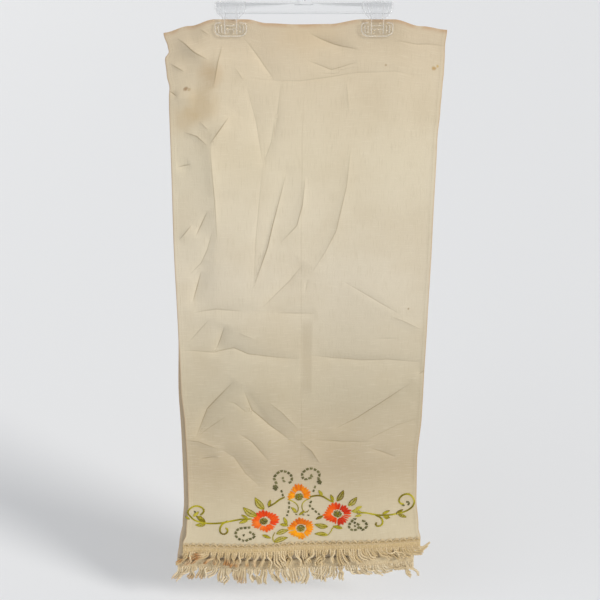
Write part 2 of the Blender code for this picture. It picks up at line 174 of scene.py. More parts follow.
def fromTable(place, rows, column=1):
    # a column of a table between its rows, level at each row
    place = np.asarray(place, float)
    places = np.array([row[0] for row in rows], float)
    levels = np.array([row[column] for row in rows], float)
    row = np.clip(np.searchsorted(places, place) - 1, 0, len(places) - 2)
    share = ease((place - places[row]) / (places[row + 1] - places[row]))
    return levels[row] + share * (levels[row + 1] - levels[row])


def walkedAlong(steps):
    # how far along a line each of its points is, from the lengths of its steps
    return np.concatenate([[0.0], np.cumsum(steps)])


def lineFrame(line):
    # a flat line's direction at each point, and the normal on its left
    along = np.gradient(line, axis=0)
    along /= np.linalg.norm(along, axis=1, keepdims=True)
    return along, np.stack([-along[:, 1], along[:, 0]], axis=-1)


def addObject(name, data):
    made = bpy.data.objects.new(name, data)
    bpy.context.collection.objects.link(made)
    return made


def makeMesh(name, points, faces, materials):
    # points are in millimetres
    mesh = bpy.data.meshes.new(name)
    mesh.from_pydata((np.asarray(points, float) * mm).tolist(), [], faces)
    for material in materials:
        mesh.materials.append(material)
    return mesh


def makePiece(name, points, faces, material):
    # a smooth piece that rides with the part's one body
    mesh = makeMesh(name, points, faces, [material])
    mesh.shade_smooth()
    piece = addObject(name, mesh)
    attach(piece, "root")
    return piece


def keepOnPoints(piece, name, values):
    # a vector for each point, for the piece's material to read
    kept = piece.data.attributes.new(name, "FLOAT_VECTOR", "POINT")
    kept.data.foreach_set("vector", np.asarray(values, np.float32).ravel())


def fromScreen(red, green, blue):
    # a colour as seen on a screen, 0 to 255, as the linear one that a shader takes
    return tuple((value / 255.0) ** 2.2 for value in (red, green, blue))


class Strands:
    # many small tubes in one mesh; each point keeps three marks for its material

    def __init__(self):
        self.points, self.faces, self.marks = [], [], []
        self.count = 0

    def tube(self, path, halfWidth, marks, sides=5, flat=1.0):
        # path in millimetres; flat is the thickness towards the viewer as a share of the width
        path = np.asarray(path, float)
        steps = len(path)
        ahead = np.gradient(path, axis=0)
        ahead /= np.maximum(np.linalg.norm(ahead, axis=1, keepdims=True), 1e-9)
        side = np.cross(ahead, (0.0, -1.0, 0.0))
        side /= np.maximum(np.linalg.norm(side, axis=1, keepdims=True), 1e-6)
        out = np.cross(side, ahead)
        turns = 2.0 * math.pi * np.arange(sides) / sides
        wide = np.broadcast_to(np.asarray(halfWidth, float), (steps,))[:, None, None]
        ring = side[:, None] * np.cos(turns)[:, None] + out[:, None] * (flat * np.sin(turns))[:, None]
        self.loft(path[:, None] + wide * ring, marks)

    def loft(self, rings, marks):
        # a closed skin over rings of points, from one ring to the next
        steps, sides = rings.shape[:2]
        self.points.append(rings.reshape(-1, 3))
        self.marks.append(np.repeat(np.broadcast_to(np.asarray(marks, float), (steps, 3)), sides, axis=0))
        start = self.count + sides * np.arange(steps - 1)[:, None]
        here = (start + np.arange(sides)).ravel()
        following = (start + (np.arange(sides) + 1) % sides).ravel()
        self.faces += np.stack([here, here + sides, following + sides, following], axis=-1).tolist()
        self.faces.append(list(range(self.count, self.count + sides)))
        self.count += steps * sides
        self.faces.append(list(range(self.count - 1, self.count - sides - 1, -1)))

    def piece(self, name, material, place=None):
        # place, if given, lays the points on the cloth before the mesh is made
        points = np.concatenate(self.points)
        made = makePiece(name, points if place is None else place(points), self.faces, material)
        keepOnPoints(made, "marks", np.concatenate(self.marks))
        return made


def smoothLine(points, step):
    # a smooth line through flat points, read at even steps
    points = np.asarray(points, float)
    ends = np.vstack([2 * points[0] - points[1], points, 2 * points[-1] - points[-2]])
    t = np.linspace(0.0, 1.0, 9)[:-1, None]
    runs = [
        0.5 * (2 * b + (c - a) * t + (2 * a - 5 * b + 4 * c - d) * t**2 + (3 * b - a - 3 * c + d) * t**3)
        for a, b, c, d in zip(ends, ends[1:], ends[2:], ends[3:])
    ]
    line = np.vstack(runs + [points[-1:]])
    walked = walkedAlong(np.hypot(*np.diff(line, axis=0).T))
    places = np.linspace(0.0, walked[-1], max(3, round(walked[-1] / step) + 1))
    return np.stack([np.interp(places, walked, line[:, k]) for k in (0, 1)], axis=-1)


# The runner: one cloth, folded in half over the hanger's clips. Drops are measured down from the fold.
runner = {
    "width": 380.0,
    "thickness": 0.7,
    "foldRadius": 0.7,
    "frontDrop": 805.0,
    "backDrop": 840.0,
    "top": -102.7,
    "spread": 2.3,  # half of what the layers lie apart lower down
    "spreadFrom": 26.2,
    "spreadOver": 90.0,
    "hemWidth": 6.5,
    "hemLift": 0.3,
    "columnStep": 2.95,
    "frontRowStep": 2.9,
    "backRowStep": 12.0,
    "mainShare": 0.95,
    "mainSoft": 3.0,  # how round a fold is at its line
    "creaseShare": 1.45,
    "creaseSoft": 0.7,
    "frontCreaseReach": 4.2,  # how far to each side a crease's mark holds in full, a little over a mesh face
    "backCreaseReach": 13.0,
    "farFromCrease": 30.0,
    "pressFrom": -3.0,  # troughs of the front deeper than this press the back layer out
    "pressWide": 1.5,
    "pressSoft": 12.0,
    "pressShare": 0.85,
    "backClear": 1.6,
}
hanging = {
    "leftRidge": -118.0,  # outside it the cloth folds back
    "ridgeMoves": 10.0,
    "leftSlope": 0.2,
    "leftLost": 0.7,  # the share of that slope which is gone lower down
    "rightRidge": 130.0,
    "rightSlope": 0.1,
    "fluteDepth": 2.4,
    "fluteWidth": 30.0,
}
# x, drop: the ends are cut a little out of square
frontHemDrop = [(-195, 811), (0, 805.5), (190, 797.5)]
backHemDrop = [(-205, 841), (0, 840), (80, 835), (180, 829)]
frontEdges = [  # drop, left, right
    (0, -191.5, 194), (20, -186, 192), (25.5, -184.8, 191.9), (34, -190.6, 192), (58, -188.8, 191.5),
    (78, -185.4, 190.2), (89, -186.5, 189.5), (113, -187, 188.3), (160, -187, 185.5), (300, -188, 184),
    (440, -186, 182), (540, -186, 181), (592, -183.5, 181), (660, -182.3, 177), (730, -182.5, 178),
    (785, -187.5, 183), (805, -194, 187),
]
backEdges = [
    (0, -191.5, 194), (22, -183.5, 190.5), (90, -184.5, 187), (300, -187.5, 180), (440, -186.5, 176),
    (555, -190.5, 175), (640, -189.5, 175), (735, -189.5, 174), (775, -193, 176), (805, -199, 178),
    (840, -204, 178),
]
topLine = [  # x, height of the folded edge
    (-193, -18.5), (-155, -9), (-121, 0), (-77, 0), (-50, -5), (-10, -6.5), (35, -6), (77, 0),
    (121, 0), (158, -9), (195, -14),
]
hangProfile = [  # drop, how far back the cloth stands
    (0, 0), (60, -3), (200, -6), (400, -9), (520, -5), (620, 3), (690, 4), (760, 0), (840, -4),
]
clips = {"across": 98.5, "jawHalfWidth": 22.0, "jawDepth": 22.2, "ease": 34.0}

# Main folds, as in the solid: height, reach to the left and right, points (x, drop)
mainFolds = [
    (-3.2, 10, 20, [(-81, 22), (-58, 48), (-36, 80)]),
    (-2.2, 10, 18, [(-80, 80), (-66, 135), (-57, 200)]),
    (-1.8, 16, 9, [(-36, 110), (-45, 162), (-58, 200)]),
    (-4.2, 9, 18, [(-22, 196), (-44, 280), (-78, 392)]),
    (-3.2, 12, 14, [(0, 335), (-22, 366), (-64, 410)]),
    (5.1, 16, 22, [(-98, 120), (-132, 168), (-128, 240)]),
    (-2.2, 12, 14, [(-128, 280), (-139, 325), (-170, 362)]),
    (-4.4, 12, 16, [(-143, 335), (-150, 370), (-166, 410)]),
    (-3.1, 14, 14, [(-170, 415), (-100, 410), (20, 415)]),
    (-3.9, 16, 12, [(-184, 476), (-104, 472), (-10, 488)]),
    (-3.6, 16, 12, [(-5, 484), (86, 491), (182, 494)]),
    (-4.8, 9, 16, [(-117, 432), (-124, 458), (-134, 485)]),
    (-5.4, 12, 18, [(-104, 520), (-148, 576), (-168, 630)]),
    (-5.1, 12, 18, [(-92, 530), (-60, 592), (-14, 634)]),
    (-4.6, 14, 16, [(-134, 638), (-100, 665), (-62, 712)]),
    (-4.2, 14, 20, [(166, 522), (110, 568), (44, 610)]),
    (1.6, 12, 20, [(56, 364), (98, 388), (146, 418)]),
    (4.8, 10, 14, [(-178, 5), (-152, 33), (-127, 57)]),
    (-2.9, 14, 14, [(4, 4), (30, 24), (78, 42)]),
    (4.4, 10, 12, [(-190, 84), (-168, 96), (-150, 98)]),
]
backFolds = [
    (3.4, 24, 30, [(-150, 60), (-110, 150), (-96, 300)]),
    (3.0, 28, 24, [(20, 40), (60, 140), (66, 320)]),
    (3.2, 22, 28, [(150, 90), (120, 210), (128, 380)]),
    (-1.6, 16, 16, [(-185, 440), (-40, 452), (170, 446)]),
    (3.4, 26, 32, [(-120, 500), (-60, 600), (-70, 740)]),
    (3.2, 28, 26, [(130, 520), (70, 620), (88, 760)]),
]
backCreases = [
    (-1.0, 8, 8, [(-178, 412), (-60, 418), (60, 417), (168, 410)]),
    (1.5, 9, 14, [(-124, 90), (-98, 150), (-90, 214)]),
    (-1.4, 14, 9, [(56, 128), (84, 200), (82, 268)]),
    (1.3, 12, 9, [(-30, 246), (-10, 320), (-22, 388)]),
    (-1.4, 10, 14, [(-152, 520), (-106, 558), (-86, 622)]),
    (1.4, 9, 14, [(36, 536), (76, 600), (72, 676)]),
    (-1.1, 9, 9, [(122, 322), (142, 366), (136, 398)]),
    (-1.0, 8, 8, [(-40, 650), (0, 690), (10, 740)]),
]
# Finer creases of the front, in the same columns
creases = [
    (-1.2, 4, 7, [(-81, 24), (-60, 48), (-40, 75)]),
    (-0.7, 4, 8, [(-78, 87), (-66, 135), (-57, 195)]),
    (-0.7, 7, 4, [(-40, 124), (-45, 162), (-58, 198)]),
    (-0.7, 6, 6, [(-58, 198), (-69, 307), (-73, 383)]),
    (2.2, 4, 6, [(-25, 208), (-44, 280), (-52, 314), (-76, 383)]),
    (-1.0, 5, 5, [(-1, 340), (-21, 366), (-61, 406)]),
    (-0.7, 3, 4, [(6, 362), (2, 384)]),
    (2.2, 6, 7, [(-130, 164), (-104, 129)]),
    (1.9, 4, 10, [(-166, 148), (-149, 153), (-134, 167)]),
    (1.1, 3, 4, [(-144, 133), (-132, 146)]),
    (-1.8, 6, 7, [(-179, 200), (-159, 195)]),
    (-2.0, 4, 8, [(-137, 262), (-155, 299)]),
    (1.7, 4, 8, [(-160, 282), (-179, 305)]),
    (-1.3, 4, 7, [(-131, 292), (-139, 319), (-149, 340), (-166, 357)]),
    (-2.2, 5, 9, [(-149, 352), (-163, 400)]),
    (-1.3, 4, 4, [(-162, 415), (-129, 409), (-91, 411)]),
    (-1.0, 4, 4, [(-42, 414), (-10, 415), (17, 415)]),
    (-1.1, 6, 6, [(-140, 426), (-170, 461)]),
    (-1.9, 4, 7, [(-117, 436), (-124, 458), (-131, 476)]),
    (0.8, 4, 4, [(-96, 445), (-72, 455)]),
    (-1.6, 5, 4, [(-182, 475), (-133, 479), (-104, 471), (-83, 480), (-41, 485), (-5, 488)]),
    (-1.3, 5, 4, [(10, 482), (41, 487), (86, 490), (125, 488), (178, 493)]),
    (-2.3, 4, 8, [(-106, 525), (-148, 576), (-166, 623)]),
    (-1.1, 4, 5, [(-120, 586), (-164, 623)]),
    (-0.9, 4, 4, [(-116, 559), (-104, 562), (-85, 579)]),
    (-2.0, 5, 7, [(-89, 542), (-79, 574), (-52, 602), (-19, 628)]),
    (1.2, 6, 6, [(-53, 559), (-34, 576), (-8, 608)]),
    (-1.5, 4, 6, [(-99, 614), (-80, 628), (-54, 661)]),
    (1.5, 5, 5, [(-182, 628), (-162, 630), (-131, 642)]),
    (-1.8, 4, 5, [(-161, 661), (-134, 656)]),
    (-1.1, 6, 6, [(-128, 642), (-108, 657), (-91, 685), (-68, 706)]),
    (-2.0, 5, 6, [(161, 527), (120, 560), (82, 589), (48, 608)]),
    (-0.9, 5, 5, [(172, 589), (144, 599), (95, 626)]),
    (-1.4, 5, 8, [(101, 637), (144, 654)]),
    (-1.3, 5, 9, [(15, 626), (60, 629), (104, 628)]),
    (1.9, 5, 10, [(-5, 628), (13, 645), (26, 668)]),
    (-1.0, 4, 6, [(58, 365), (84, 380), (112, 397), (142, 415)]),
    (1.0, 4, 6, [(128, 418), (146, 425), (174, 440)]),
    (-0.5, 4, 4, [(100, 453), (141, 453)]),
    (-1.1, 4, 5, [(181, 506), (172, 514)]),
    (0.7, 5, 7, [(58, 80), (62, 122)]),
    (-1.8, 5, 5, [(7, 10), (24, 19), (53, 31), (75, 39)]),
    (-1.3, 6, 6, [(5, 47), (37, 60), (72, 55)]),
    (-0.7, 3, 3, [(-77, 75), (-5, 75), (44, 69), (97, 68), (161, 65)]),
    (-1.1, 4, 5, [(121, 28), (143, 24), (192, 20)]),
    (2.2, 4, 8, [(-172, 12), (-149, 34), (-131, 50)]),
    (1.8, 4, 4, [(-183, 43), (-164, 60)]),
    (1.2, 4, 4, [(-141, 6), (-128, 19)]),
    (-2.2, 4, 4, [(-185, 83), (-175, 93)]),
    (1.9, 8, 10, [(-111, 33), (-117, 55), (-124, 89)]),
    (0.8, 4, 5, [(-94, 62), (-86, 74), (-82, 80)]),
    (1.4, 9, 5, [(-128, 162), (-130, 176), (-126, 248), (-124, 307)]),
    (-0.7, 5, 4, [(-31, 78), (-35, 110), (-40, 160)]),
    (1.7, 5, 6, [(2, 212), (-2, 252), (-10, 282), (-32, 306)]),
    (1.4, 6, 9, [(65, 172), (60, 225), (46, 290), (30, 322), (12, 352)]),
]


def clearOfJaws(x, drop):
    level = np.ones(np.broadcast(x, drop).shape)
    for centre in (-clips["across"], clips["across"]):
        across = np.maximum(np.abs(x - centre) - clips["jawHalfWidth"], 0.0)
        below = np.maximum(drop - clips["jawDepth"], 0.0)
        level = np.minimum(level, ease((np.hypot(across, below) - 2.0) / clips["ease"]))
    return level


def nearLine(x, drop, points):
    # how far each place is from a line, on which side of it, and how far along it (0 to 1)
    points = np.array(points, float)
    lengths = np.hypot(*(points[1:] - points[:-1]).T)
    nearest = np.full(x.shape, 1e9)
    side, along = np.zeros(x.shape), np.zeros(x.shape)
    walked = 0.0
    for (x0, s0), (x1, s1), length in zip(points[:-1], points[1:], lengths):
        run, fall = (x1 - x0) / length, (s1 - s0) / length
        step = np.clip((x - x0) * run + (drop - s0) * fall, 0.0, length)
        away = np.hypot(x - x0 - step * run, drop - s0 - step * fall)
        closer = away < nearest
        nearest = np.where(closer, away, nearest)
        side = np.where(closer, (x - x0) * fall - (drop - s0) * run, side)
        along = np.where(closer, walked + step, along)
        walked += length
    return nearest, side, along / walked


def fadeAtEnds(along):
    return np.sin(math.pi * np.clip(along, 0.0, 0.999)) ** 0.7


def foldLevel(x, drop, fold, soft):
    height, left, right, points = fold
    away, side, along = nearLine(x, drop, points)
    reach = left + (right - left) * ease(0.5 + side / (2.0 * soft))
    rounded = np.sqrt(away**2 + soft**2) - soft
    return height * fadeAtEnds(along) * np.exp(-rounded / reach)


def relief(x, drop, folds, soft):
    return sum(foldLevel(x, drop, fold, soft) for fold in folds)


def hang(x, drop):
    # how far back the cloth stands: its profile, the flap at each upper corner and long shallow flutes
    ridge = hanging["leftRidge"] - hanging["ridgeMoves"] * ease(drop / 120.0)
    leftKept = 1.0 - hanging["leftLost"] * ease((drop - 230.0) / 240.0)
    leftFlap = hanging["leftSlope"] * np.maximum(ridge - x, 0.0) * leftKept
    rightKept = 1.0 - ease(drop / 260.0)
    rightTurn = hanging["rightSlope"] * np.maximum(x - hanging["rightRidge"], 0.0) * rightKept
    flutes = hanging["fluteDepth"] * np.sin(x / hanging["fluteWidth"] + 0.8) * ease((drop - 120.0) / 400.0)
    return clearOfJaws(x, drop) * (fromTable(drop, hangProfile) + leftFlap + rightTurn + flutes)


def halfGap(drop):
    opened = ease((drop - runner["spreadFrom"]) / runner["spreadOver"])
    return runner["foldRadius"] + runner["spread"] * opened


def frontRelief(x, drop):
    raised = runner["mainShare"] * relief(x, drop, mainFolds, runner["mainSoft"])
    raised = raised + runner["creaseShare"] * relief(x, drop, creases, runner["creaseSoft"])
    return raised * clearOfJaws(x, drop) * ease(drop / 30.0)


def creaseMarks(x, drop, lines, reach):
    # the distance to the nearest crease, less than 0 on its other side, and that crease's height: the finish
    # draws its sharp line from them, as a bump and as a line of painted shade
    near, height = np.full(x.shape, runner["farFromCrease"]), np.zeros(x.shape)
    for crease in lines:
        away, side, along = nearLine(x, drop, crease[3])
        closer = away < np.abs(near)
        kept = crease[0] * fadeAtEnds(along) * (1.0 - ease((away - reach) / reach))
        near = np.where(closer, np.copysign(away, side), near)
        height = np.where(closer, kept, height)
    return np.stack([near, height, np.zeros(x.shape)], axis=-1)


def backRelief(x, drop):
    raised = relief(x, drop, backFolds + backCreases, runner["mainSoft"])
    return raised * clearOfJaws(x, drop) * ease(drop / 30.0)


def hungHeight(x, drop):
    droop = fromTable(x, topLine) * (1.0 - ease(drop / 220.0))
    return runner["top"] - runner["foldRadius"] - drop + droop


def frontPoints(x, drop):
    # the front layer's middle surface at x and drop
    x, drop = np.broadcast_arrays(np.asarray(x, float), np.asarray(drop, float))
    y = hang(x, drop) - halfGap(drop) - frontRelief(x, drop)
    return np.stack([x, y, hungHeight(x, drop)], axis=-1)


def pushedBack(x, drop):
    # the front's deep troughs press the back layer out in wide soft swellings
    wide = runner["pressWide"]
    deep = [fold for fold in mainFolds if fold[0] < runner["pressFrom"]]
    troughs = [(height, wide * left, wide * right, points) for height, left, right, points in deep]
    pressed = relief(x, drop, troughs, runner["pressSoft"])
    return -runner["pressShare"] * pressed * clearOfJaws(x, drop) * ease((drop - 60.0) / 160.0)


def backPoints(x, drop):
    # the back layer, which stays behind the troughs of the front one
    x, drop = np.broadcast_arrays(np.asarray(x, float), np.asarray(drop, float))
    own = backRelief(x, drop) + pushedBack(x, drop)
    between = 2.0 * halfGap(drop) + own + frontRelief(x, drop)
    clear = runner["backClear"] * clearOfJaws(x, drop) * ease((drop - 6.0) / 18.0)
    apart = 2.0 * runner["foldRadius"] + clear
    pushed = np.maximum(apart - between, 0.0)
    y = hang(x, drop) + halfGap(drop) + own + pushed
    return np.stack([x, y, hungHeight(x, drop)], axis=-1)


def acrossCloth(share, drop, edges):
    left, right = fromTable(drop, edges, 1), fromTable(drop, edges, 2)
    return left + share * (right - left)


def buildRunner(material):
    width, hem, step = runner["width"], runner["hemWidth"], runner["columnStep"]
    inner = np.linspace(hem + 3.0, width - hem - 3.0, round((width - 2 * hem) / step))
    side = np.array([0.0, 1.2, hem - 0.8, hem + 0.6])
    flat = np.concatenate([side, inner, width - side[::-1]])
    share = flat / width
    hemmed = np.minimum(flat, width - flat) < hem
    frontRows = np.linspace(runner["frontDrop"], 0.0, round(runner["frontDrop"] / runner["frontRowStep"]) + 1)
    backRows = np.linspace(0.0, runner["backDrop"], round(runner["backDrop"] / runner["backRowStep"]) + 1)
    rows, walks, marks = [], [], []

    def layRow(points, walked, marked):
        rows.append(points)
        walks.append(walked)
        marks.append(marked)

    for drop in frontRows:
        x = acrossCloth(share, drop, frontEdges)
        cut = drop / runner["frontDrop"] * fromTable(x, frontHemDrop)
        points = frontPoints(x, cut)
        points[:, 1] -= runner["hemLift"] * hemmed
        layRow(points, runner["frontDrop"] - drop, creaseMarks(x, cut, creases, runner["frontCreaseReach"]))
    # three rows take the cloth round its fold
    topBack = backPoints(acrossCloth(share, 0.0, backEdges), 0.0)
    middle = (rows[-1] + topBack) / 2.0
    radius = runner["foldRadius"]
    unmarked = np.tile((runner["farFromCrease"], 0.0, 0.0), (len(flat), 1))
    for turn in np.radians((45.0, 90.0, 135.0)):
        arc = middle + (0.0, -radius * math.cos(turn), radius * math.sin(turn))
        layRow(arc, runner["frontDrop"] + radius * turn, unmarked)
    for drop in backRows:
        x = acrossCloth(share, drop, backEdges)
        cut = drop / runner["backDrop"] * fromTable(x, backHemDrop)
        marked = creaseMarks(x, cut, backCreases, runner["backCreaseReach"])
        layRow(backPoints(x, cut), runner["frontDrop"] + math.pi * radius + drop, marked)
    wide = len(flat)
    faces = [
        (r + c, r + c + 1, r + wide + c + 1, r + wide + c)
        for r in range(0, (len(rows) - 1) * wide, wide)
        for c in range(wide - 1)
    ]
    piece = makePiece("runner_sheet", np.concatenate(rows), faces, material)
    # the flat cloth's own measure, in metres: across, and along from the front hem
    keepOnPoints(piece, "clothFlat", [(f * mm, w * mm, 0.0) for w in walks for f in flat])
    keepOnPoints(piece, "crease", np.concatenate(marks))
    solid = piece.modifiers.new("thickness", "SOLIDIFY")
    solid.thickness = runner["thickness"] * mm
    solid.offset = 0.0
    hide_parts("runner_cloth")
    return piece


linen = {
    "threadPitch": 0.62,
    "tones": [  # share of the way up the front, colour; its darker stretch low on the front is painted shade, where the light falls off
        (0.0, (206, 192, 162)), (0.07, (204, 190, 160)), (0.16, (189, 173, 145)), (0.32, (196, 184, 158)),
        (0.55, (214, 203, 181)), (0.76, (217, 205, 179)), (0.92, (211, 196, 169)), (1.0, (205, 188, 161)),
    ],
    "tints": {  # tone, strength
        "shadow": ((178, 158, 122), 0.16),
        "weftSlub": ((228, 218, 196), 0.22),
        "warpSlub": ((176, 160, 128), 0.18),
        # painted shade: the next two darken the pressed centre line and the band along the pressed fold
        "pressLine": ((170, 150, 118), 0.12),
        "foldShadeBand": ((170, 155, 128), 0.28),
        # painted shade: a dark line along each crease
        "crease": ((140, 122, 92), 0.3),
        "fold": ((176, 130, 88), 0.45),
        "edge": ((182, 142, 104), 0.4),
        "seam": ((160, 142, 110), 0.35),
    },
    "pressLine": 188.0,  # across, the pressed centre crease
    "pressBands": ((95.0, 700.0), (930.0, 1560.0)),  # along from the front hem
    "foldShadeBand": (190.0, 205.0, 262.0, 376.0),  # across and along, the band of painted shade along the pressed fold
    "foldBand": (802.0, 809.0),  # along, where the fold over the hanger has browned
    "seamIn": 5.7,
    "seamStitch": 2.6,
}
stainsAndShade = [  # stains, and broad patches of painted shade on the upper left corner: across and along from the front hem, radius, colour, strength
    (24, 721, 4.2, (140, 104, 66), 0.7),
    (29, 720, 3.4, (168, 140, 100), 0.5),
    (366, 751, 3.8, (176, 136, 66), 0.75),
    (370.5, 755, 2.6, (196, 160, 84), 0.7),
    (300, 746, 2.2, (160, 130, 92), 0.6),
    (350, 395, 2.2, (150, 125, 90), 0.7),
    (368, 80, 2.0, (150, 120, 80), 0.6),
    # painted shade: the next three are broad brown patches where the upper left corner turns away from the
    # light
    (46, 696, 30.0, (190, 164, 122), 0.42),
    (60, 736, 22.0, (184, 154, 112), 0.45),
    (20, 676, 26.0, (190, 164, 122), 0.35),
    (190, 806, 60.0, (204, 178, 136), 0.25),
]


def clothFinish():
    finish = Finish(
        "creamLinen", Roughness=0.86, Sheen_Weight=0.15, Sheen_Roughness=0.5, Specular_IOR_Level=0.25
    )
    flat = finish.attribute("clothFlat", "Vector")
    across, along = flat.part("X"), flat.part("Y")
    # the colour up the front, with painted shade in its darker stretch low down
    stops = [(place, fromScreen(*tone)) for place, tone in linen["tones"]]
    color = finish.node("ShaderNodeValToRGB", {"stops": stops}, {"Fac": along / (runner["frontDrop"] * mm)})
    broad = finish.noise(flat, 9.0, 3.0).up(0.42, 0.68)
    weftSlubs = finish.noise(flat * (45.0, 900.0, 1.0), 1.0, 1.0).up(0.52, 0.75)
    warpSlubs = finish.noise(flat * (900.0, 45.0, 1.0), 1.0, 1.0).up(0.52, 0.75)
    spotsAndShade = []
    # stains, and the broad patches of painted shade, each a ragged round spot
    for x, y, radius, tone, strength in stainsAndShade:
        ragged = finish.noise(flat, 260.0 if radius < 10 else 36.0, 2.0) * (radius * mm)
        ends = {0: flat, 1: (x * mm, y * mm, 0.0)}
        away = finish.node("ShaderNodeVectorMath", {"operation": "DISTANCE"}, ends, "Value")
        spotsAndShade.append((tone, (1.0 - (away + ragged).up(0.7 * radius * mm, 1.6 * radius * mm)) * strength))
    # the creases that pressing left, drawn darker as painted shade, and the band of painted shade along the
    # pressed fold
    toLine = (across - linen["pressLine"] * mm).size()
    pressed = sum(along.between(low * mm, high * mm, 30.0 * mm) for low, high in linen["pressBands"])
    line = (1.0 - toLine.up(0.4 * mm, 1.6 * mm)) * pressed
    left, right, low, high = (value * mm for value in linen["foldShadeBand"])
    foldShade = across.between(left, right, 2.0 * mm) * along.between(low, high, 9.0 * mm)
    crease = finish.attribute("crease", "Vector")
    away, depth = crease.part("X").size(), crease.part("Y")
    kink = 1.0 - away.work("MINIMUM", away / 2.6, 1.0)
    low, high = (value * mm for value in linen["foldBand"])
    folded = along.between(low, high, 3.0 * mm) * finish.noise(flat, 60.0, 2.0).up(0.25, 0.6)
    # the turned edges and their stitching
    half = runner["width"] / 2.0 * mm
    toEdge = half - (across - half).size()
    toSeam = (toEdge - linen["seamIn"] * mm).size()
    stitches = (along * (2.0 * math.pi / (linen["seamStitch"] * mm))).wave().up(-0.3, 0.1)
    seam = (1.0 - toSeam.up(0.15 * mm, 0.4 * mm)) * stitches

    def tinted(name, where):
        tone, strength = linen["tints"][name]
        return tone, where * strength

    for tone, share in (
        tinted("shadow", broad), tinted("weftSlub", weftSlubs), tinted("warpSlub", warpSlubs), *spotsAndShade,
        # painted shade along the pressed centre line and the band beside it
        tinted("pressLine", line), tinted("foldShadeBand", foldShade),
        # painted shade: the first tint below is a dark line along each crease
        tinted("crease", (1.0 - away.up(0.1, 1.2)) * depth.size()), tinted("fold", folded),
        tinted("edge", 1.0 - toEdge.up(0.6 * mm, 2.4 * mm)), tinted("seam", seam),
    ):
        color = finish.tint(color, tone, share)
    # plain weave: at each crossing either the warp or the weft is on top
    pitch = math.pi / (linen["threadPitch"] * mm)
    warp, weft = (across * pitch).wave(), (along * pitch).wave()
    over = (warp * weft).up(-0.3, 0.3)
    height = over * (warp * warp) + (1.0 - over) * (weft * weft)
    crumple = finish.noise(flat, 70.0, 3.0, 0.6)
    bumped = finish.bump(height + weftSlubs * 0.8 + warpSlubs * 0.8 - line - seam, 0.12 * mm, 0.7)
    values = {"Strength": 0.6, "Distance": 0.5 * mm, "Height": crumple + kink * depth, "Normal": bumped}
    return finish.feed(Base_Color=color, Normal=finish.node("ShaderNodeBump", {}, values))


# The embroidery: places are (across from the middle, up from the front hem) in millimetres
spray = {
    "thread": 0.46,
    "dive": 0.35,
    "rise": 0.5,
    "blocks": 24,
    "threadsInBlock": 5,
    "petalInner": 0.36,
    "petalWaves": 4.0,  # eight petals, longer in their middles
    "petalTurn": 25.0,
    "skipShare": 0.12,
    "darkKnotShare": 0.15,
    "discRings": ((0.0, 1), (2.0, 6), (3.9, 10), (5.7, 14)),
    "stemStep": 1.55,
    "stemHalfWidth": 0.62,
    "stemRow": 0.68,
    "fineHalfWidth": 0.62,
    "dashLength": 5.0,
    "dashGap": 2.3,
    "dashRow": 0.88,
    "scrollStep": 0.5,
    "knotRadius": 0.78,
}
flowers = [
    # centre, disc centre, radii across and up, from and to angle, shades by angle (degrees, shade), colour
    {"centre": (-61, 40), "disc": (-63, 40), "radii": (23, 20.5), "turn": (0, 360), "color": "red",
     "shades": [(0, 0.35), (90, 0.45), (150, 0.6), (220, 0.95), (280, 0.8), (330, 0.4)]},
    {"centre": (54, 51), "disc": (54, 51), "radii": (23.5, 20.5), "turn": (0, 360), "color": "red",
     "shades": [(0, 0.2), (60, 0.15), (120, 0.5), (170, 0.75), (230, 0.4), (280, 0.2)]},
    {"centre": (-4, 25), "disc": (-4, 25.5), "radii": (22.5, 20), "turn": (0, 360), "color": "gold",
     "shades": [(0, 0.7), (60, 0.2), (90, 0.1), (130, 0.35), (200, 0.9), (280, 0.8)]},
    {"centre": (-7, 82), "disc": (-7, 80.5), "radii": (19.5, 21), "turn": (-20, 205), "color": "gold",
     "shades": [(-20, 0.7), (60, 0.5), (90, 0.25), (130, 0.6), (205, 1.0)]},
]
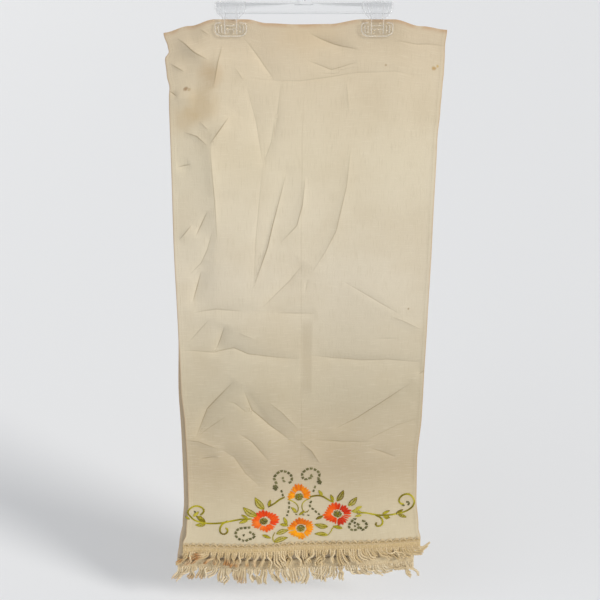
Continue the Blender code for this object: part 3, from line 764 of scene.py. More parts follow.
leaves = [
    # base, tip, width as a share of the length, bend sideways, shade, veined
    ((-62, 61), (-76, 81), 0.42, 0.06, 0.55, True),
    ((-73, 49), (-95, 64), 0.40, 0.08, 0.55, True),
    ((-55, 66), (-52, 77), 0.40, 0.0, 0.45, False),
    ((53, 73), (63, 92), 0.38, -0.06, 0.2, True),
    ((71, 66), (84, 81), 0.42, -0.05, 0.5, True),
    ((47, 73), (43, 84), 0.40, 0.0, 0.45, False),
    ((30, 82), (24, 91), 0.42, 0.0, 0.6, False),
    ((-43, 17), (-24, 23), 0.40, 0.05, 0.55, True),
    ((-47, 3), (-25, 10), 0.34, 0.06, 0.6, True),
    ((-65, 16), (-52, 10), 0.34, 0.0, 0.45, False),
    ((-37, 34), (-24, 31), 0.36, 0.0, 0.5, False),
    ((-26, 33), (-31, 46), 0.34, 0.0, 0.6, False),
    ((39, 28), (18, 32), 0.38, 0.06, 0.55, True),
    ((39, 13), (18, 15), 0.30, -0.05, 0.6, True),
    ((62, 26), (47, 29), 0.34, 0.0, 0.5, False),
    ((31, 47), (20, 41), 0.36, 0.0, 0.15, False),
    ((76, 57), (92, 55), 0.36, 0.08, 0.8, True),
    ((82, 60), (92, 66), 0.38, 0.0, 0.85, False),
    ((92, 51), (82, 48), 0.34, 0.0, 0.8, False),
    ((-88, 45), (-98, 51), 0.34, 0.0, 0.55, False),
    ((-88, 42), (-102, 36), 0.34, 0.0, 0.6, False),
    ((-156, 35), (-170, 45), 0.42, 0.0, 0.2, False),
    ((-156, 31), (-172, 29), 0.36, 0.05, 0.6, True),
    ((-181, 39), (-188, 44), 0.4, 0.0, 0.5, False),
    ((-160, 41), (-168, 45), 0.5, 0.0, 0.7, False),
    ((-175, 44), (-166, 53), 0.36, 0.0, 0.75, False),
    ((125, 53), (136, 59), 0.34, 0.0, 0.6, False),
    ((127, 50), (137, 46), 0.34, 0.0, 0.5, False),
    ((146, 52), (157, 60), 0.36, 0.0, 0.15, False),
    ((150, 52), (163, 46), 0.38, 0.0, 0.55, True),
    ((-11, 55), (-19, 63), 0.36, 0.0, 0.6, False),
    ((2, 56), (-7, 49), 0.3, 0.0, 0.5, False),
]
stems = [
    # points, rows of stitches, shade, how much it varies
    ([(-56, 65), (-45, 71), (-38, 77), (-29, 81)], 2, 0.2, 0.2),
    ([(10, 80), (20, 82), (30, 81), (41, 74), (48, 71)], 2, 0.35, 0.2),
    ([(-25, 77), (-16, 73), (-9, 66), (-8, 58), (-11, 53), (-16, 55)], 1, 0.5, 0.2),
    ([(12, 78), (3, 74), (-2, 68), (-2, 60), (1, 54), (5, 53), (9, 58)], 1, 0.45, 0.2),
    ([(-82, 44), (-98, 43), (-115, 39), (-130, 35), (-144, 33), (-157, 33), (-166, 35), (-174, 38),
      (-180, 45), (-184, 51), (-181, 57), (-174, 62), (-167, 63), (-160, 60), (-157, 55), (-160, 50),
      (-164, 47)], 2, 0.58, 0.22),
    ([(-120, 39), (-129, 33), (-133, 24), (-132, 17), (-126, 15), (-121, 19), (-120, 24), (-124, 27)],
     2, 0.45, 0.25),
    ([(84, 54), (97, 55), (108, 53), (120, 51), (134, 51), (148, 53), (160, 56), (169, 61), (174, 67),
      (175, 74), (172, 81), (166, 86), (159, 86), (153, 82), (150, 76), (153, 70), (159, 69)], 2, 0.55, 0.3),
    ([(114, 51), (122, 47), (126, 40), (124, 33), (118, 31), (114, 33), (116, 38)], 2, 0.45, 0.25),
    ([(126, 51), (130, 44), (135, 45), (135, 50)], 1, 0.45, 0.2),
    ([(39, 13), (44, 19), (47, 27), (56, 31)], 1, 0.5, 0.2),
    ([(-47, 3), (-49, 12), (-45, 20)], 1, 0.5, 0.2),
    ([(39, 13), (28, 14)], 1, 0.5, 0.2),
]
scrolls = [
    # rows of dark running stitches: points, rows side by side, gap as a share
    ([(-23, 73), (-22, 66), (-23, 60), (-25, 52), (-26, 48)], 2, 1.0),
    ([(13, 73), (10, 68), (11, 62), (17, 58), (20, 54), (26, 49)], 2, 1.0),
    ([(-42, 93), (-46, 98), (-42, 103), (-45, 111), (-46, 115), (-41, 122), (-35, 126), (-26, 124),
      (-20, 119), (-18, 113), (-19, 107), (-24, 104)], 3, 0.55),
    ([(-32, 116), (-32, 110), (-28, 106)], 2, 0.5),
    ([(-35, 93), (-33, 87), (-32, 82)], 2, 0.8),
    ([(28, 103), (23, 110), (25, 116), (25, 121), (21, 125), (16, 128), (9, 129), (3, 126), (-1, 122),
      (-2, 117), (0, 111), (5, 110), (9, 112), (14, 114), (11, 119)], 3, 0.55),
    ([(19, 99), (17, 93), (15, 87)], 2, 0.8),
    ([(-84, 29), (-93, 28), (-100, 27), (-106, 23), (-108, 16), (-107, 12), (-102, 8), (-98, 5)], 3, 0.7),
    ([(-92, 5), (-87, 8), (-81, 10), (-77, 14), (-80, 18), (-86, 21)], 3, 0.7),
    ([(84, 43), (80, 44), (76, 37), (72, 31), (76, 24), (83, 24), (89, 30), (86, 35), (80, 37)], 3, 0.6),
    ([(93, 41), (98, 39), (101, 32), (99, 28), (93, 24), (90, 31)], 3, 0.6),
    ([(155, 69), (160, 66)], 2, 0.5),
    ([(162, 73), (167, 72), (165, 66)], 2, 0.5),
]
knotGroups = [  # middle, how many, spread
    ((-44, 98), 16, 4.2), ((25, 105), 12, 3.6), ((-95, 15), 4, 1.4), ((0, 49), 2, 1.2), ((8, 48), 2, 1.2),
    ((-11, 50), 2, 1.2), ((-172, 53), 3, 1.2), ((-96, 6), 3, 1.6), ((82, 31), 3, 1.2),
]


def onCloth(points):
    # points are across, out (negative is towards the viewer) and up from the front hem
    placed = frontPoints(points[:, 0], runner["frontDrop"] - points[:, 2])
    placed[:, 1] += points[:, 1] - runner["thickness"] / 2.0
    return placed


def varied(tone, low, high):
    # a tone that differs from stitch to stitch, kept from 0 to 1
    return min(max(tone + rng.uniform(low, high), 0.0), 1.0)


def stitch(strands, start, end, shade, half, bow=1.0):
    # one thread that leaves the cloth at start, lies on it and goes back in at end
    shares = np.array([0.0, 0.12, 0.5, 0.88, 1.0])
    dive, rise = spray["dive"], spray["rise"]
    lift = np.array([-dive, rise * 0.5, rise * bow, rise * 0.5, -dive])
    start, end = np.asarray(start, float), np.asarray(end, float)
    flat = start + shares[:, None] * (end - start)
    path = np.stack([flat[:, 0], -lift, flat[:, 1]], axis=-1)
    full = np.array([0.62, 0.95, 1.0, 0.95, 0.62]) * half
    strands.tube(path, full, (shade, rng.random(), 0.0), flat=0.8)


def sewKnot(strands, middle, shade):
    # a thread wound round itself once and a half and pulled tight
    turns = np.linspace(0.0, 3.0 * math.pi, 11) + rng.random() * 6.0
    radius = spray["knotRadius"] * np.linspace(1.0, 0.45, 11)
    path = np.stack([
        middle[0] + radius * np.cos(turns), -0.25 - 0.06 * np.arange(11), middle[1] + radius * np.sin(turns)
    ], axis=-1)
    strands.tube(path, spray["thread"] * 1.05, (shade, rng.random(), 0.0))


def sewFlower(threads, flower):
    centre, (rx, ry) = np.array(flower["centre"], float), flower["radii"]
    low, high = flower["turn"]
    angles, shades = zip(*flower["shades"])
    blocks = round(spray["blocks"] * (high - low) / 360.0)
    wide = (high - low) / blocks
    many = spray["threadsInBlock"]
    for block in range(blocks):
        middle = low + (block + 0.5) * wide
        petal = math.sin(math.radians(middle * spray["petalWaves"] + spray["petalTurn"]))
        reach = 0.97 + 0.05 * petal + rng.uniform(-0.07, 0.05)
        inner = spray["petalInner"] + rng.uniform(-0.03, 0.06)
        skip = rng.random() < spray["skipShare"]
        period = 360.0 if high - low == 360 else None
        tone = float(np.interp((middle - low) % 360.0 + low, angles, shades, period=period))
        tone = varied(tone, -0.22, 0.2)
        for t in range(many - 2 if skip else many):
            offset = (t - (many - 1) / 2.0) / many
            turn = math.radians(middle + offset * wide * 0.94)
            tip = reach - 0.62 * offset**2 + rng.uniform(-0.015, 0.015)
            out = np.array([rx * math.cos(turn), ry * math.sin(turn)])
            width = math.radians(wide) * (rx + ry) / 2.0 * 0.78 / many / 2.0
            start = centre + out * (inner + rng.uniform(-0.03, 0.03))
            shade = tone + rng.uniform(-0.05, 0.05)
            stitch(threads[flower["color"]], start, centre + out * tip, shade, width * 1.12, 1.2)
    discX, discUp = flower["disc"]
    for ring, (radius, count) in enumerate(spray["discRings"]):
        for k in range(count):
            turn = 2.0 * math.pi * (k + 0.5 * (ring % 2)) / count
            place = (discX + radius * math.cos(turn) + rng.uniform(-0.4, 0.4),
                     discUp + 0.94 * radius * math.sin(turn) + rng.uniform(-0.4, 0.4))
            thread = threads["dark" if rng.random() < spray["darkKnotShare"] else "green"]
            sewKnot(thread, place, rng.uniform(0.1, 0.55))


def sewStem(strands, points, rows, shade, varies):
    line = smoothLine(points, spray["stemStep"])
    _, normal = lineFrame(line)
    phase = rng.uniform(0.0, 6.0)
    for row in range(rows):
        offset = (row - (rows - 1) / 2.0) * 2.0 * spray["stemRow"]
        for i in range(0, len(line) - 3, 2):
            last = min(i + 4, len(line) - 1)
            start = line[i] + normal[i] * (offset - 0.3)
            end = line[last] + normal[last] * (offset + 0.3)
            tone = varied(shade + varies * math.sin(phase + i * 0.22), -0.08, 0.08)
            stitch(strands, start, end, tone, spray["stemHalfWidth"])


def sewLeaf(strands, base, tip, share, bend, shade, veined):
    base, tip = np.array(base, float), np.array(tip, float)
    length = float(np.hypot(*(tip - base)))
    ahead = (tip - base) / length
    across = np.array([-ahead[1], ahead[0]])
    half = length * share / 2.0

    def place(t, side):
        # a point of the leaf: t from base to tip, side from -1 to 1
        belly, bowed = math.sin(math.pi * min(max(t, 0.0), 1.0) ** 0.85), math.sin(math.pi * t)
        return base + ahead * length * t + across * (half * side * belly + bend * length * bowed)

    step = 3.2 if veined else 1.5
    count = max(3, round(length / step))
    for side in (-1.0, 1.0):
        for i in range(count):
            t = (i + 0.6) / (count + 0.6)
            ends = (place(t - 0.07, 0.06 * side), place(min(t + 0.12, 0.98), 0.86 * side))
            stitch(strands, *ends, varied(shade + 0.28, -0.15, 0.15), 0.6)
    edge = max(4, round(length / 3.2))
    for side in (-1.0, 0.0, 1.0):
        for i in range(edge):
            ends = (place(i / edge, side), place(min((i + 1.3) / edge, 1.0), side))
            stitch(strands, *ends, varied(shade - 0.2, -0.25, 0.2), spray["fineHalfWidth"])


def sewScroll(strands, points, rows, gap):
    # dashes of several threads side by side
    line = smoothLine(points, spray["scrollStep"])
    along, normal = lineFrame(line)
    dash = round(spray["dashLength"] / spray["scrollStep"])
    i = 0
    while i + dash // 2 < len(line):
        last = min(i + dash + rng.integers(-1, 2), len(line) - 1)
        tone = rng.uniform(0.1, 0.7)
        for row in range(rows + 1):
            offset = (row - rows / 2.0) * spray["dashRow"]
            slip = rng.uniform(-0.3, 0.3)
            start = line[i] + normal[i] * offset - along[i] * slip
            end = line[last] + normal[last] * offset + along[last] * slip
            stitch(strands, start, end, tone, spray["fineHalfWidth"], 1.2)
        i = last + max(2, round(spray["dashGap"] * gap / spray["scrollStep"]))


def buildEmbroidery(finishes):
    threads = {color: Strands() for color in finishes}
    for flower in flowers:
        sewFlower(threads, flower)
    for leaf in leaves:
        sewLeaf(threads["green"], *leaf)
    for stem in stems:
        sewStem(threads["green"], *stem)
    for scroll in scrolls:
        sewScroll(threads["dark"], *scroll)
    for (x, up), count, spread in knotGroups:
        for k in range(count):
            turn, far = k * 2.4, spread * math.sqrt((k + 0.5) / count)
            place = (x + far * math.cos(turn), up + far * math.sin(turn))
            sewKnot(threads["dark"], place, rng.uniform(0.0, 0.6))
    pieces = []
    for color, finish in finishes.items():
        piece = threads[color].piece(f"embroidery_{color}", finish, onCloth)
        pieces.append(piece)
    return pieces


def threadFinish(name, tones):
    # stranded cotton: its tone runs by stitch, and fine strands show as ridges
    finish = Finish(name, Roughness=0.5, Sheen_Weight=0.08, Sheen_Roughness=0.4, Specular_IOR_Level=0.25)
    marks = finish.attribute("marks", "Vector")
    places = np.linspace(0.0, 1.0, len(tones))
    stops = [(float(place), fromScreen(*tone)) for place, tone in zip(places, tones)]
    color = finish.node("ShaderNodeValToRGB", {"stops": stops}, {"Fac": marks.part("X")})
    fibre = finish.noise(finish.objectPlace(), 2600.0, 2.0)
    # painted shade: darker in the low places of the fibre bump, between the strands
    color = finish.tint(color, (70, 50, 25), (1.0 - fibre.up(0.25, 0.6)) * 0.25)
    return finish.feed(Base_Color=color, Normal=finish.bump(fibre, 0.15 * mm, 0.6))


# The fringe at each end: a crocheted heading under the hem, and tassels of plied yarn
fringe = {
    "hemGap": 0.5,
    "headingDepth": 15.0,
    "bandHalf": 0.22,
    "tassels": 34,
    "yarns": 6,
    "yarnLength": 29.0,
    "plyRadius": 0.95,
    "plyTwist": 7.0,  # one turn of the two plies
    "yarnSteps": 15,
    "yarnRoom": 1.8,  # from a yarn's middle to the back layer
    "headingRoom": 1.4,  # more of it over the back end's heading
    "kink": 2.0,
    "pinch": 0.78,
    "leanVaries": 15.0,  # degrees, as the next four are
    "curlVaries": 22.0,
    "fanned": 16.0,
    "strayFrom": 20.0,
    "strayTo": 36.0,
    "strayShare": 0.16,
    "wound": (0.0, 0.0, 0.0, 2.2, -2.2, 3.2),  # how far the yarns of a tassel are wound together
    "hairs": 3,
    "hairWidths": (0.5, 0.42, 0.34, 0.2),
    "posts": 4,
    "postHalf": 0.95,
    "chainHalf": 0.62,
    "chainPitch": 3.6,
    "scallop": 4.6,
}
frontSweep = [  # share of the width, lean and curl in degrees, length as a share
    (0, -44, -14, 1.05), (0.1, -42, -4, 1.0), (0.22, -32, 6, 1.0), (0.34, -5, 4, 1.0), (0.6, 3, 4, 1.0),
    (0.7, 9, 6, 1.0), (0.745, 26, 16, 0.92), (0.78, 58, 16, 0.85), (0.88, 64, 10, 0.9), (0.95, 66, 20, 0.95),
    (1, 88, 46, 0.95),
]
backSweep = [
    (0, -50, 8, 1.1), (0.08, -42, 8, 1.0), (0.14, -46, 4, 0.8), (0.2, -18, 8, 1.05), (0.28, 2, 4, 1.0),
    (0.62, 4, 2, 1.0), (0.69, 8, 4, 1.0), (0.73, 48, 22, 0.88), (0.8, 56, 16, 0.88), (0.94, 56, 10, 0.92),
    (1, 58, 0, 1.15),
]


def hemLine(edges, hemDrop, drop, layer):
    # the hem's points at even shares of the width, for reading between them
    shares = np.linspace(0.0, 1.0, 241)
    x = acrossCloth(shares, drop, edges)
    placed = layer(x, fromTable(x, hemDrop))

    def at(share, down=0.0):
        share = np.asarray(share, float)
        x, y, z = (np.interp(share, shares, placed[:, k]) for k in range(3))
        return np.stack([x, y, z - fringe["hemGap"] - down], axis=-1)

    return at


def twistedYarn(strands, path, marks, phase):
    # two plies wound round a path
    radius = fringe["plyRadius"]
    walked = walkedAlong(np.linalg.norm(np.diff(path, axis=0), axis=1))
    ahead = np.gradient(path, axis=0)
    side = np.stack([-ahead[:, 2], np.zeros(len(path)), ahead[:, 0]], axis=-1)
    side /= np.maximum(np.linalg.norm(side, axis=1, keepdims=True), 1e-6)
    out = np.array([0.0, -1.0, 0.0])
    for ply in (0.0, math.pi):
        turn = (2.0 * math.pi * walked / fringe["plyTwist"] + phase + ply)[:, None]
        strands.tube(path + radius * 0.8 * (side * np.cos(turn) + out * np.sin(turn)), radius, marks)


def makeHeading(strands, hem, facing):
    depth, tassels = fringe["headingDepth"], fringe["tassels"]
    width = float(hem(1.0)[0] - hem(0.0)[0])
    fine = np.linspace(0.004, 0.996, round(width / 0.8))
    wave = fine * width * 2.0 * math.pi / fringe["chainPitch"]
    scallop = fringe["scallop"] * (1.0 - np.abs(np.sin(math.pi * fine * tassels)) ** 0.8)
    for down, shape, proud in ((-2.8, scallop, 1.0), (4.4, 0.0, 0.4), (12.6, 0.0, 0.0)):
        # a chain is two yarns that pass over each other at each stitch; the scallops lap over the hem
        for ply in (0.0, math.pi):
            path = hem(fine, down + shape + 0.75 * np.sin(wave / 2.0 + ply))
            path[:, 1] += 0.7 * np.sin(wave + ply) + facing * proud
            strands.tube(path, fringe["chainHalf"], (rng.uniform(0.3, 0.7), 0.0, 0.5))
    posts = fringe["posts"] * tassels
    for k in range(posts):
        share = (k + 0.5) / posts
        sway = 0.35 / posts * (1.0 if k % 2 else -1.0)
        for low, high, slant in ((5.0, 12.4, 1.0), (1.4 if k % 2 else 2.4, 4.4, -1.0)):
            shares = share + sway * slant * np.array([-1.0, -0.4, 0.4, 1.0])
            path = hem(np.clip(shares, 0.003, 0.997), np.linspace(low, high, 4))
            half = fringe["postHalf"] * np.array([0.75, 1.05, 1.05, 0.75])
            strands.tube(path, half, (rng.uniform(0.0, 0.5), 0.0, share), sides=6, flat=0.8)
    # a thin band of close loops that backs the chains and goes up behind the hem
    shares = np.linspace(0.0, 1.0, 4 * tassels + 1)
    downs = np.array([-3.0, 0.6, 4.0, 6.0, 9.0, 12.0, depth])
    behind = np.array([1.0, 1.0, 0.4, 0.0, 0.0, 0.0, 0.0])
    grid = hem(shares[:, None] * np.ones(len(downs)), np.ones((len(shares), 1)) * downs)
    grid[..., 1] -= facing * behind
    thick = np.array([0.0, fringe["bandHalf"], 0.0])
    strands.loft(np.concatenate([grid[:, ::-1] - thick, grid + thick], axis=1), (0.1, 0.0, 0.5))


def keptInFront(path, facing):
    # the front end's yarns lie on the back layer and its heading, not in them
    if facing > 0:
        return path
    drop = runner["top"] - runner["foldRadius"] - path[:, 2]
    room = runner["thickness"] / 2.0 + fringe["yarnRoom"] + fringe["headingRoom"] * ease((drop - 824.0) / 8.0)
    nearest = backPoints(path[:, 0], drop)[:, 1] - room
    return np.stack([path[:, 0], np.minimum(path[:, 1], nearest), path[:, 2]], axis=-1)


def makeTassels(strands, hem, facing, sweep):
    tassels, yarns, steps = fringe["tassels"], fringe["yarns"], fringe["yarnSteps"]
    pitch = float(hem(1.0)[0] - hem(0.0)[0]) / tassels
    along = np.linspace(0.0, 1.0, steps)
    for k in range(tassels):
        share = (k + 0.5) / tassels
        lean = float(fromTable(share, sweep, 1)) + rng.uniform(-1.0, 1.0) * fringe["leanVaries"]
        curl = float(fromTable(share, sweep, 2)) + rng.uniform(-1.0, 1.0) * fringe["curlVaries"]
        bends, phase = rng.uniform(4.0, 8.0), rng.uniform(0.0, 6.0)
        fullness = rng.uniform(0.78, 1.2)
        reach = float(fromTable(share, sweep, 3)) * rng.uniform(0.84, 1.05)
        layer = rng.uniform(-0.5, 0.5)
        wound = rng.choice(fringe["wound"])
        if rng.random() < fringe["strayShare"]:
            lean += rng.choice([-1.0, 1.0]) * rng.uniform(fringe["strayFrom"], fringe["strayTo"])
            layer += 1.2
        for j in range(yarns):
            spread = (j + 0.5) / yarns - 0.5
            own = lean + fringe["fanned"] * spread * rng.uniform(0.2, 1.0) + rng.uniform(-5.0, 5.0)
            length = fringe["yarnLength"] * reach * rng.uniform(0.88, 1.06)
            turn = np.radians(own * np.minimum(1.6 * along, 1.0) + curl * along)
            step = length / (steps - 1)
            x = walkedAlong(np.sin(turn[1:])) * step
            z = -walkedAlong(np.cos(turn[1:])) * step
            opened = spread * pitch * (fringe["pinch"] + (fullness - fringe["pinch"]) * ease(along / 0.35))
            around = wound * ease((along - 0.12) / 0.6)
            kink = fringe["kink"] * along * np.sin(along * bends + phase + rng.uniform(-0.5, 0.5))
            root = hem(share, fringe["headingDepth"] - 2.4)
            thick = (0.9 if j % 2 else -0.9) * (0.5 + 0.6 * along) + 0.6 * opened * np.sin(around)
            beside = opened * np.cos(around) + kink
            path = np.stack([
                root[0] + beside * np.maximum(np.cos(turn), 0.35) + x,
                root[1] + facing * (0.6 + layer) * along + thick + 0.6 * kink,
                root[2] + z + beside * np.sin(turn),
            ], axis=-1)
            path = keptInFront(path, facing)
            marks = np.stack([np.full(steps, rng.random()), along, np.full(steps, share)], axis=-1)
            twistedYarn(strands, path, marks, rng.uniform(0.0, 6.0))
            # the cut end has come apart into finer strands
            for _ in range(fringe["hairs"]):
                end = turn[-1] + rng.uniform(-0.6, 0.6)
                out = np.array([0.0, 0.4, 0.75, 1.0])[:, None] * rng.uniform(2.4, 4.4)
                curve = np.array([0.0, 0.1, 0.35, 0.7])[:, None] * rng.uniform(-1.0, 1.0)
                away = (math.sin(end), rng.uniform(-0.3, 0.3), -math.cos(end))
                hair = keptInFront(path[-2] + out * away + curve * (1.0, 0.3, 0.2), facing)
                strands.tube(hair, fringe["hairWidths"], (rng.uniform(0.5, 1.0), 1.0, share), sides=4)
        # the loop that binds the tassel's head
        ring = np.linspace(-1.0, 1.0, 7)
        path = hem(share, fringe["headingDepth"] + 0.8) + np.stack([
            ring * pitch * 0.3, -1.9 * np.sqrt(1.02 - ring**2) - 0.1, 0.3 * ring
        ], axis=-1)
        strands.tube(path, 0.6, (rng.uniform(0.3, 0.8), 0.05, share))


def buildFringe(node, hem, sweep, facing, material):
    # facing is -1 at the front end, whose face is towards the viewer, and 1 at the back end
    pieces = []
    parts = (("heading", makeHeading, hem, facing), ("tassels", makeTassels, hem, facing, sweep))
    for part, make, *given in parts:
        strands = Strands()
        make(strands, *given)
        piece = strands.piece(f"{node}_{part}", material)
        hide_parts(node)
        pieces.append(piece)
    return pieces


def fringeFinish(name, base, pale, stained):
    # undyed cotton, with painted shade between its fibres; stained is how far the tips on the left are
    # browned
    finish = Finish(name, Roughness=0.8, Sheen_Weight=0.2, Sheen_Roughness=0.5, Specular_IOR_Level=0.25)
    marks = finish.attribute("marks", "Vector")
    place = finish.objectPlace()
    shade, along, share = marks.part("X"), marks.part("Y"), marks.part("Z")
    color = finish.mix(fromScreen(*base), fromScreen(*pale), shade)
    color = finish.tint(color, (168, 136, 88), finish.noise(place, 60.0, 3.0).up(0.5, 0.8) * 0.3)
    fibre = finish.noise(place * (1.0, 1.0, 0.4), 1900.0, 2.0)
    # painted shade: darker in the low places of the fibre bump, between the fibres
    color = finish.tint(color, (150, 120, 78), (1.0 - fibre.up(0.2, 0.6)) * 0.25)
    patchy = finish.noise(place, 55.0, 2.0).up(0.38, 0.62)
    browned = along.up(0.35, 0.95) * (1.0 - share.up(0.24, 0.4)) * patchy * stained
    color = finish.tint(color, (176, 112, 44), browned)
    return finish.feed(Base_Color=color, Normal=finish.bump(fibre, 0.2 * mm, 0.7))


# The hanger: clear moulded clips and bar, and a bent wire hook. Heights are from the top of the cloth.
moulding = {
    "round": 0.42,
    "leafThickness": 2.0,
    "leafInner": [  # height, how far the leaf's inner face stands out
        (-22.2, 1.55), (-8, 1.8), (-3.8, 2.6), (-2, 3.1), (0.5, 4), (4.5, 4.3), (9.5, 5), (14.5, 6.2),
        (22, 8.2), (23.5, 8.6),
    ],
    "ribs": [  # half width, how proud, points (across, height), mirrored on the clip's other side
        (0.7, 1.5, [(8, 16.6), (8, 9.5), (8, 4.5), (8, 0.5), (8, -3.8), (8, -8), (8, -18.6)]),
        (0.75, 0.8, [(19.6, 22.2), (20.1, 14.5), (17.8, 9.6), (13.3, 4.7), (10.3, 0.9)]),
        (0.6, 0.7, [(13.6, 20.5), (13.4, 14), (11.6, 8.5)]),
        (0.7, 0.8, [(12.4, -3.6), (20, -4.6), (21.1, -8), (21.1, -14.8), (18.9, -18.6), (13.6, -21.2),
                    (0.6, -21.3)]),
        (0.6, 0.7, [(16.5, -7), (17, -10), (16, -16.8)]),
        (0.5, 0.6, [(12.4, -7.4), (12.4, -17)]),
        (0.5, 0.6, [(0.6, -7.6), (6.6, -7.6)]),
        (0.5, 0.6, [(0.6, -12.2), (6.6, -12.2)]),
        (0.4, 0.5, [(3.4, -13.6), (4.2, -18)]),
    ],
}
hook = {
    "radius": 18.75,
    "centre": -17.0,
    "tip": 205.0,  # degrees, from the right
    "turn": -45.0,  # where the round part ends and the stem's bend starts
    "wire": 1.75,
    "stemEnd": -77.65,
    "sides": 24,
}


def makeRibs(centre, materials):
    # raised bars on both leaves of a clip, to be joined with it
    heights, inner = zip(*moulding["leafInner"])
    bars = Strands()
    for half, proud, line in moulding["ribs"]:
        line = np.array(line, float)
        _, normal = lineFrame(line)
        for side, mirror in ((-1.0, -1.0), (-1.0, 1.0), (1.0, -1.0), (1.0, 1.0)):
            rings = []
            for (x, z), (nx, nz) in zip(line, normal * half):
                for way, out in ((1.0, -0.5), (1.0, proud), (-1.0, proud), (-1.0, -0.5)):
                    across, up = x + way * nx, z + way * nz
                    level = np.interp(up, heights, inner) + moulding["leafThickness"] + out
                    rings.append((centre + mirror * across, side * level, runner["top"] + up))
            bars.loft(np.array(rings).reshape(-1, 4, 3), (0.0, 0.0, 0.0))
    mesh = makeMesh("ribs", np.concatenate(bars.points), bars.faces, materials)
    shape = bmesh.new()
    shape.from_mesh(mesh)
    bmesh.ops.recalc_face_normals(shape, faces=shape.faces)
    for face in shape.faces:
        face.material_index = 1
    shape.to_mesh(mesh)
    shape.free()
    return addObject("ribs", mesh)


def buildMoulded(node, materials, ribs=None):
    # the solid's own shape with its flat faces whole again and its edges rounded
    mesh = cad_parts[node].data.copy()
    mesh.materials.clear()
    for material in materials:
        mesh.materials.append(material)
    piece = addObject(f"{node}_moulded", mesh)
    piece.matrix_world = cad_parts[node].matrix_world.copy()
    if ribs is not None:
        join = piece.modifiers.new("ribs", "BOOLEAN")
        join.operation = "UNION"
        join.solver = "EXACT"
        join.object = ribs
        joined = piece.evaluated_get(bpy.context.evaluated_depsgraph_get())
        mesh = bpy.data.meshes.new_from_object(joined)
        piece.modifiers.clear()
        piece.data = mesh
        bpy.data.objects.remove(ribs)
    shape = bmesh.new()
    shape.from_mesh(mesh)
    bmesh.ops.remove_doubles(shape, verts=shape.verts, dist=0.01 * mm)
    bmesh.ops.dissolve_limit(shape, angle_limit=math.radians(1.0), verts=shape.verts, edges=shape.edges)
    shape.to_mesh(mesh)
    shape.free()
    mesh.shade_smooth()
    bevel = piece.modifiers.new("round", "BEVEL")
    bevel.width = moulding["round"] * mm
    bevel.segments = 3
    bevel.angle_limit = math.radians(25.0)
    bevel.harden_normals = True
    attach(piece, "root")
    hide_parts(node)
    return piece


def buildHook(material):
    radius, centre = hook["radius"], hook["centre"]
    turns = np.radians(np.linspace(hook["tip"], hook["turn"], 61))
    path = [(radius * math.cos(turn), centre + radius * math.sin(turn)) for turn in turns]
    heading = math.radians(-hook["turn"])
    lastX, lastZ = path[-1]
    bend = lastX / (1.0 - math.cos(heading))
    for left in heading * (1.0 - np.arange(1, 19) / 18.0):
        path.append((bend * (1.0 - math.cos(left)), lastZ - bend * (math.sin(heading) - math.sin(left))))
    path += [(0.0, z) for z in np.linspace(path[-1][1] - 2.0, hook["stemEnd"], 8)]
    path = np.array(path)
    back = path[0] - path[1]
    back /= np.hypot(*back)
    # the tip is rounded over
    turns = np.radians([84.0, 66.0, 44.0, 22.0])
    tip = path[0] + hook["wire"] * np.sin(turns)[:, None] * back
    path = np.vstack([tip, path])
    half = np.concatenate([hook["wire"] * np.cos(turns), np.full(len(path) - 4, hook["wire"])])
    path = np.stack([path[:, 0], np.zeros(len(path)), path[:, 1]], axis=-1)
    strands = Strands()
    strands.tube(path, half, (0.0, 0.0, 0.0), sides=hook["sides"])
    piece = strands.piece("hanger_hook_wire", material)
    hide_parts("hanger_hook")
    return piece


def clearFinish(name, alpha, clear=1.0):
    finish = Finish(name, Transmission_Weight=clear, IOR=1.49, Specular_IOR_Level=0.5, Alpha=alpha)
    place = finish.objectPlace()
    cloudy = finish.noise(place, 70.0, 2.0)
    color = finish.mix((0.95, 0.965, 0.97), (0.99, 0.99, 0.99), cloudy)
    scuffed = finish.noise(place * (1.0, 1.0, 0.3), 900.0, 2.0)
    roughness = finish.node("ShaderNodeMapRange", {}, {0: scuffed, 1: 0.3, 2: 0.8, 3: 0.03, 4: 0.12})
    return finish.feed(Base_Color=color, Roughness=roughness, Normal=finish.bump(cloudy, 0.15 * mm, 0.4))


def steelFinish():
    finish = Finish("platedSteel", Metallic=1.0)
    place = finish.objectPlace()
    dulled = finish.noise(place, 240.0, 3.0)
    color = finish.mix((0.62, 0.63, 0.65), (0.78, 0.78, 0.77), dulled)
    drawn = finish.noise(place * (1.0, 1.0, 0.15), 2200.0, 1.0)
    roughness = finish.node("ShaderNodeMapRange", {}, {0: dulled, 1: 0.3, 2: 0.7, 3: 0.16, 4: 0.34})
    return finish.feed(Base_Color=color, Roughness=roughness, Normal=finish.bump(drawn, 0.02 * mm, 0.4))


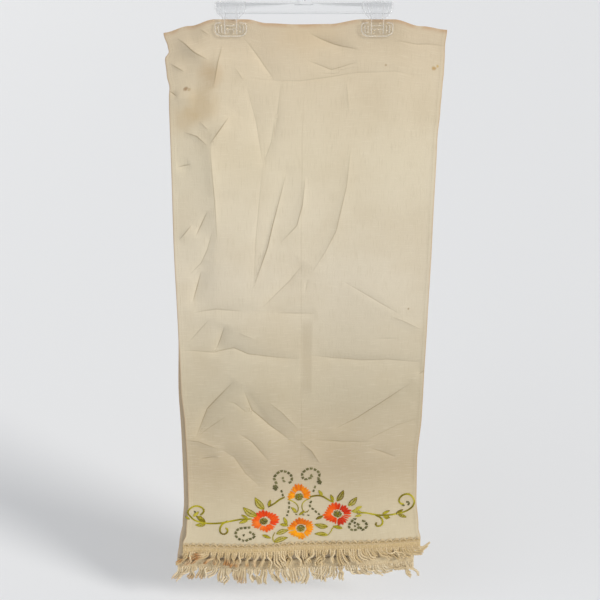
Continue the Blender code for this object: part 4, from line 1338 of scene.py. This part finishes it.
def buildStage():
    cameraData = bpy.data.cameras.new("photoCamera")
    cameraData.lens = cameraSetup["lens"]
    cameraData.sensor_width = cameraSetup["sensor"]
    cameraData.clip_start = 0.05
    cameraData.clip_end = 200.0
    cameraObject = addObject("photoCamera", cameraData)
    cameraObject.location = Vector(cameraSetup["place"]) * mm
    cameraObject.rotation_euler = (math.radians(90.0 - cameraSetup["lookDown"]), 0.0, 0.0)
    bpy.context.scene.camera = cameraObject
    for name, (right, above, wide, strength, color) in lights.items():
        data = bpy.data.lights.new(name, "SUN")
        data.angle = math.radians(wide)
        data.energy = strength
        data.color = color
        light = addObject(name, data)
        light.rotation_euler = (math.radians(90.0 - above), 0.0, math.radians(right))
    world = bpy.data.worlds.new("paleStudio")
    world.use_nodes = True
    background = world.node_tree.nodes["Background"]
    background.inputs["Color"].default_value = (*room["worldColor"], 1.0)
    background.inputs["Strength"].default_value = room["worldStrength"]
    bpy.context.scene.world = world
    bpy.context.scene.view_settings.view_transform = "Standard"
    half, level = room["floorSize"] / 2.0, room["floor"]
    corners = [(-half, -half, level), (half, -half, level), (half, half, level), (-half, half, level)]
    finish = Finish("paleFloor", Roughness=0.9, Base_Color=(*room["floorColor"], 1.0))
    floor = addObject("studioFloor", makeMesh("studioFloor", corners, [(0, 1, 2, 3)], [finish.material]))


buildStage()
print("stage, lights and camera are set")
sheetPiece = buildRunner(clothFinish())
print("runner sheet:", len(sheetPiece.data.polygons), "quads")
threadTones = {
    "red": [(204, 44, 0), (232, 70, 0), (245, 98, 6), (247, 130, 44)],
    "gold": [(212, 94, 0), (234, 122, 0), (246, 146, 0), (248, 168, 0)],
    "green": [(100, 76, 24), (130, 116, 16), (156, 146, 16), (188, 176, 32), (212, 198, 84)],
    "dark": [(84, 82, 46), (112, 108, 68), (146, 142, 100)],
}
threadFinishes = {color: threadFinish(f"{color}Thread", tones) for color, tones in threadTones.items()}
embroidery = buildEmbroidery(threadFinishes)
frontHem = hemLine(frontEdges, frontHemDrop, runner["frontDrop"], frontPoints)
backHem = hemLine(backEdges, backHemDrop, runner["backDrop"], backPoints)
frontCotton = fringeFinish("frontFringeCotton", (200, 176, 130), (226, 206, 168), 0.8)
backCotton = fringeFinish("backFringeCotton", (206, 186, 148), (230, 216, 186), 0.3)
fringes = buildFringe("fringe_front", frontHem, frontSweep, -1.0, frontCotton)
fringes += buildFringe("fringe_back", backHem, backSweep, 1.0, backCotton)
clear = [clearFinish("clearPlastic", 0.16), clearFinish("clearPlasticRibs", 0.6, 0.6)]
hardware = [
    buildMoulded("clip_left", clear, makeRibs(-clips["across"], clear)),
    buildMoulded("clip_right", clear, makeRibs(clips["across"], clear)),
    buildMoulded("hanger_bar", [clearFinish("clearPlasticBar", 0.7)]),
    buildHook(steelFinish()),
]
for piece in embroidery + fringes + hardware:
    print(piece.name, len(piece.data.polygons), "faces")
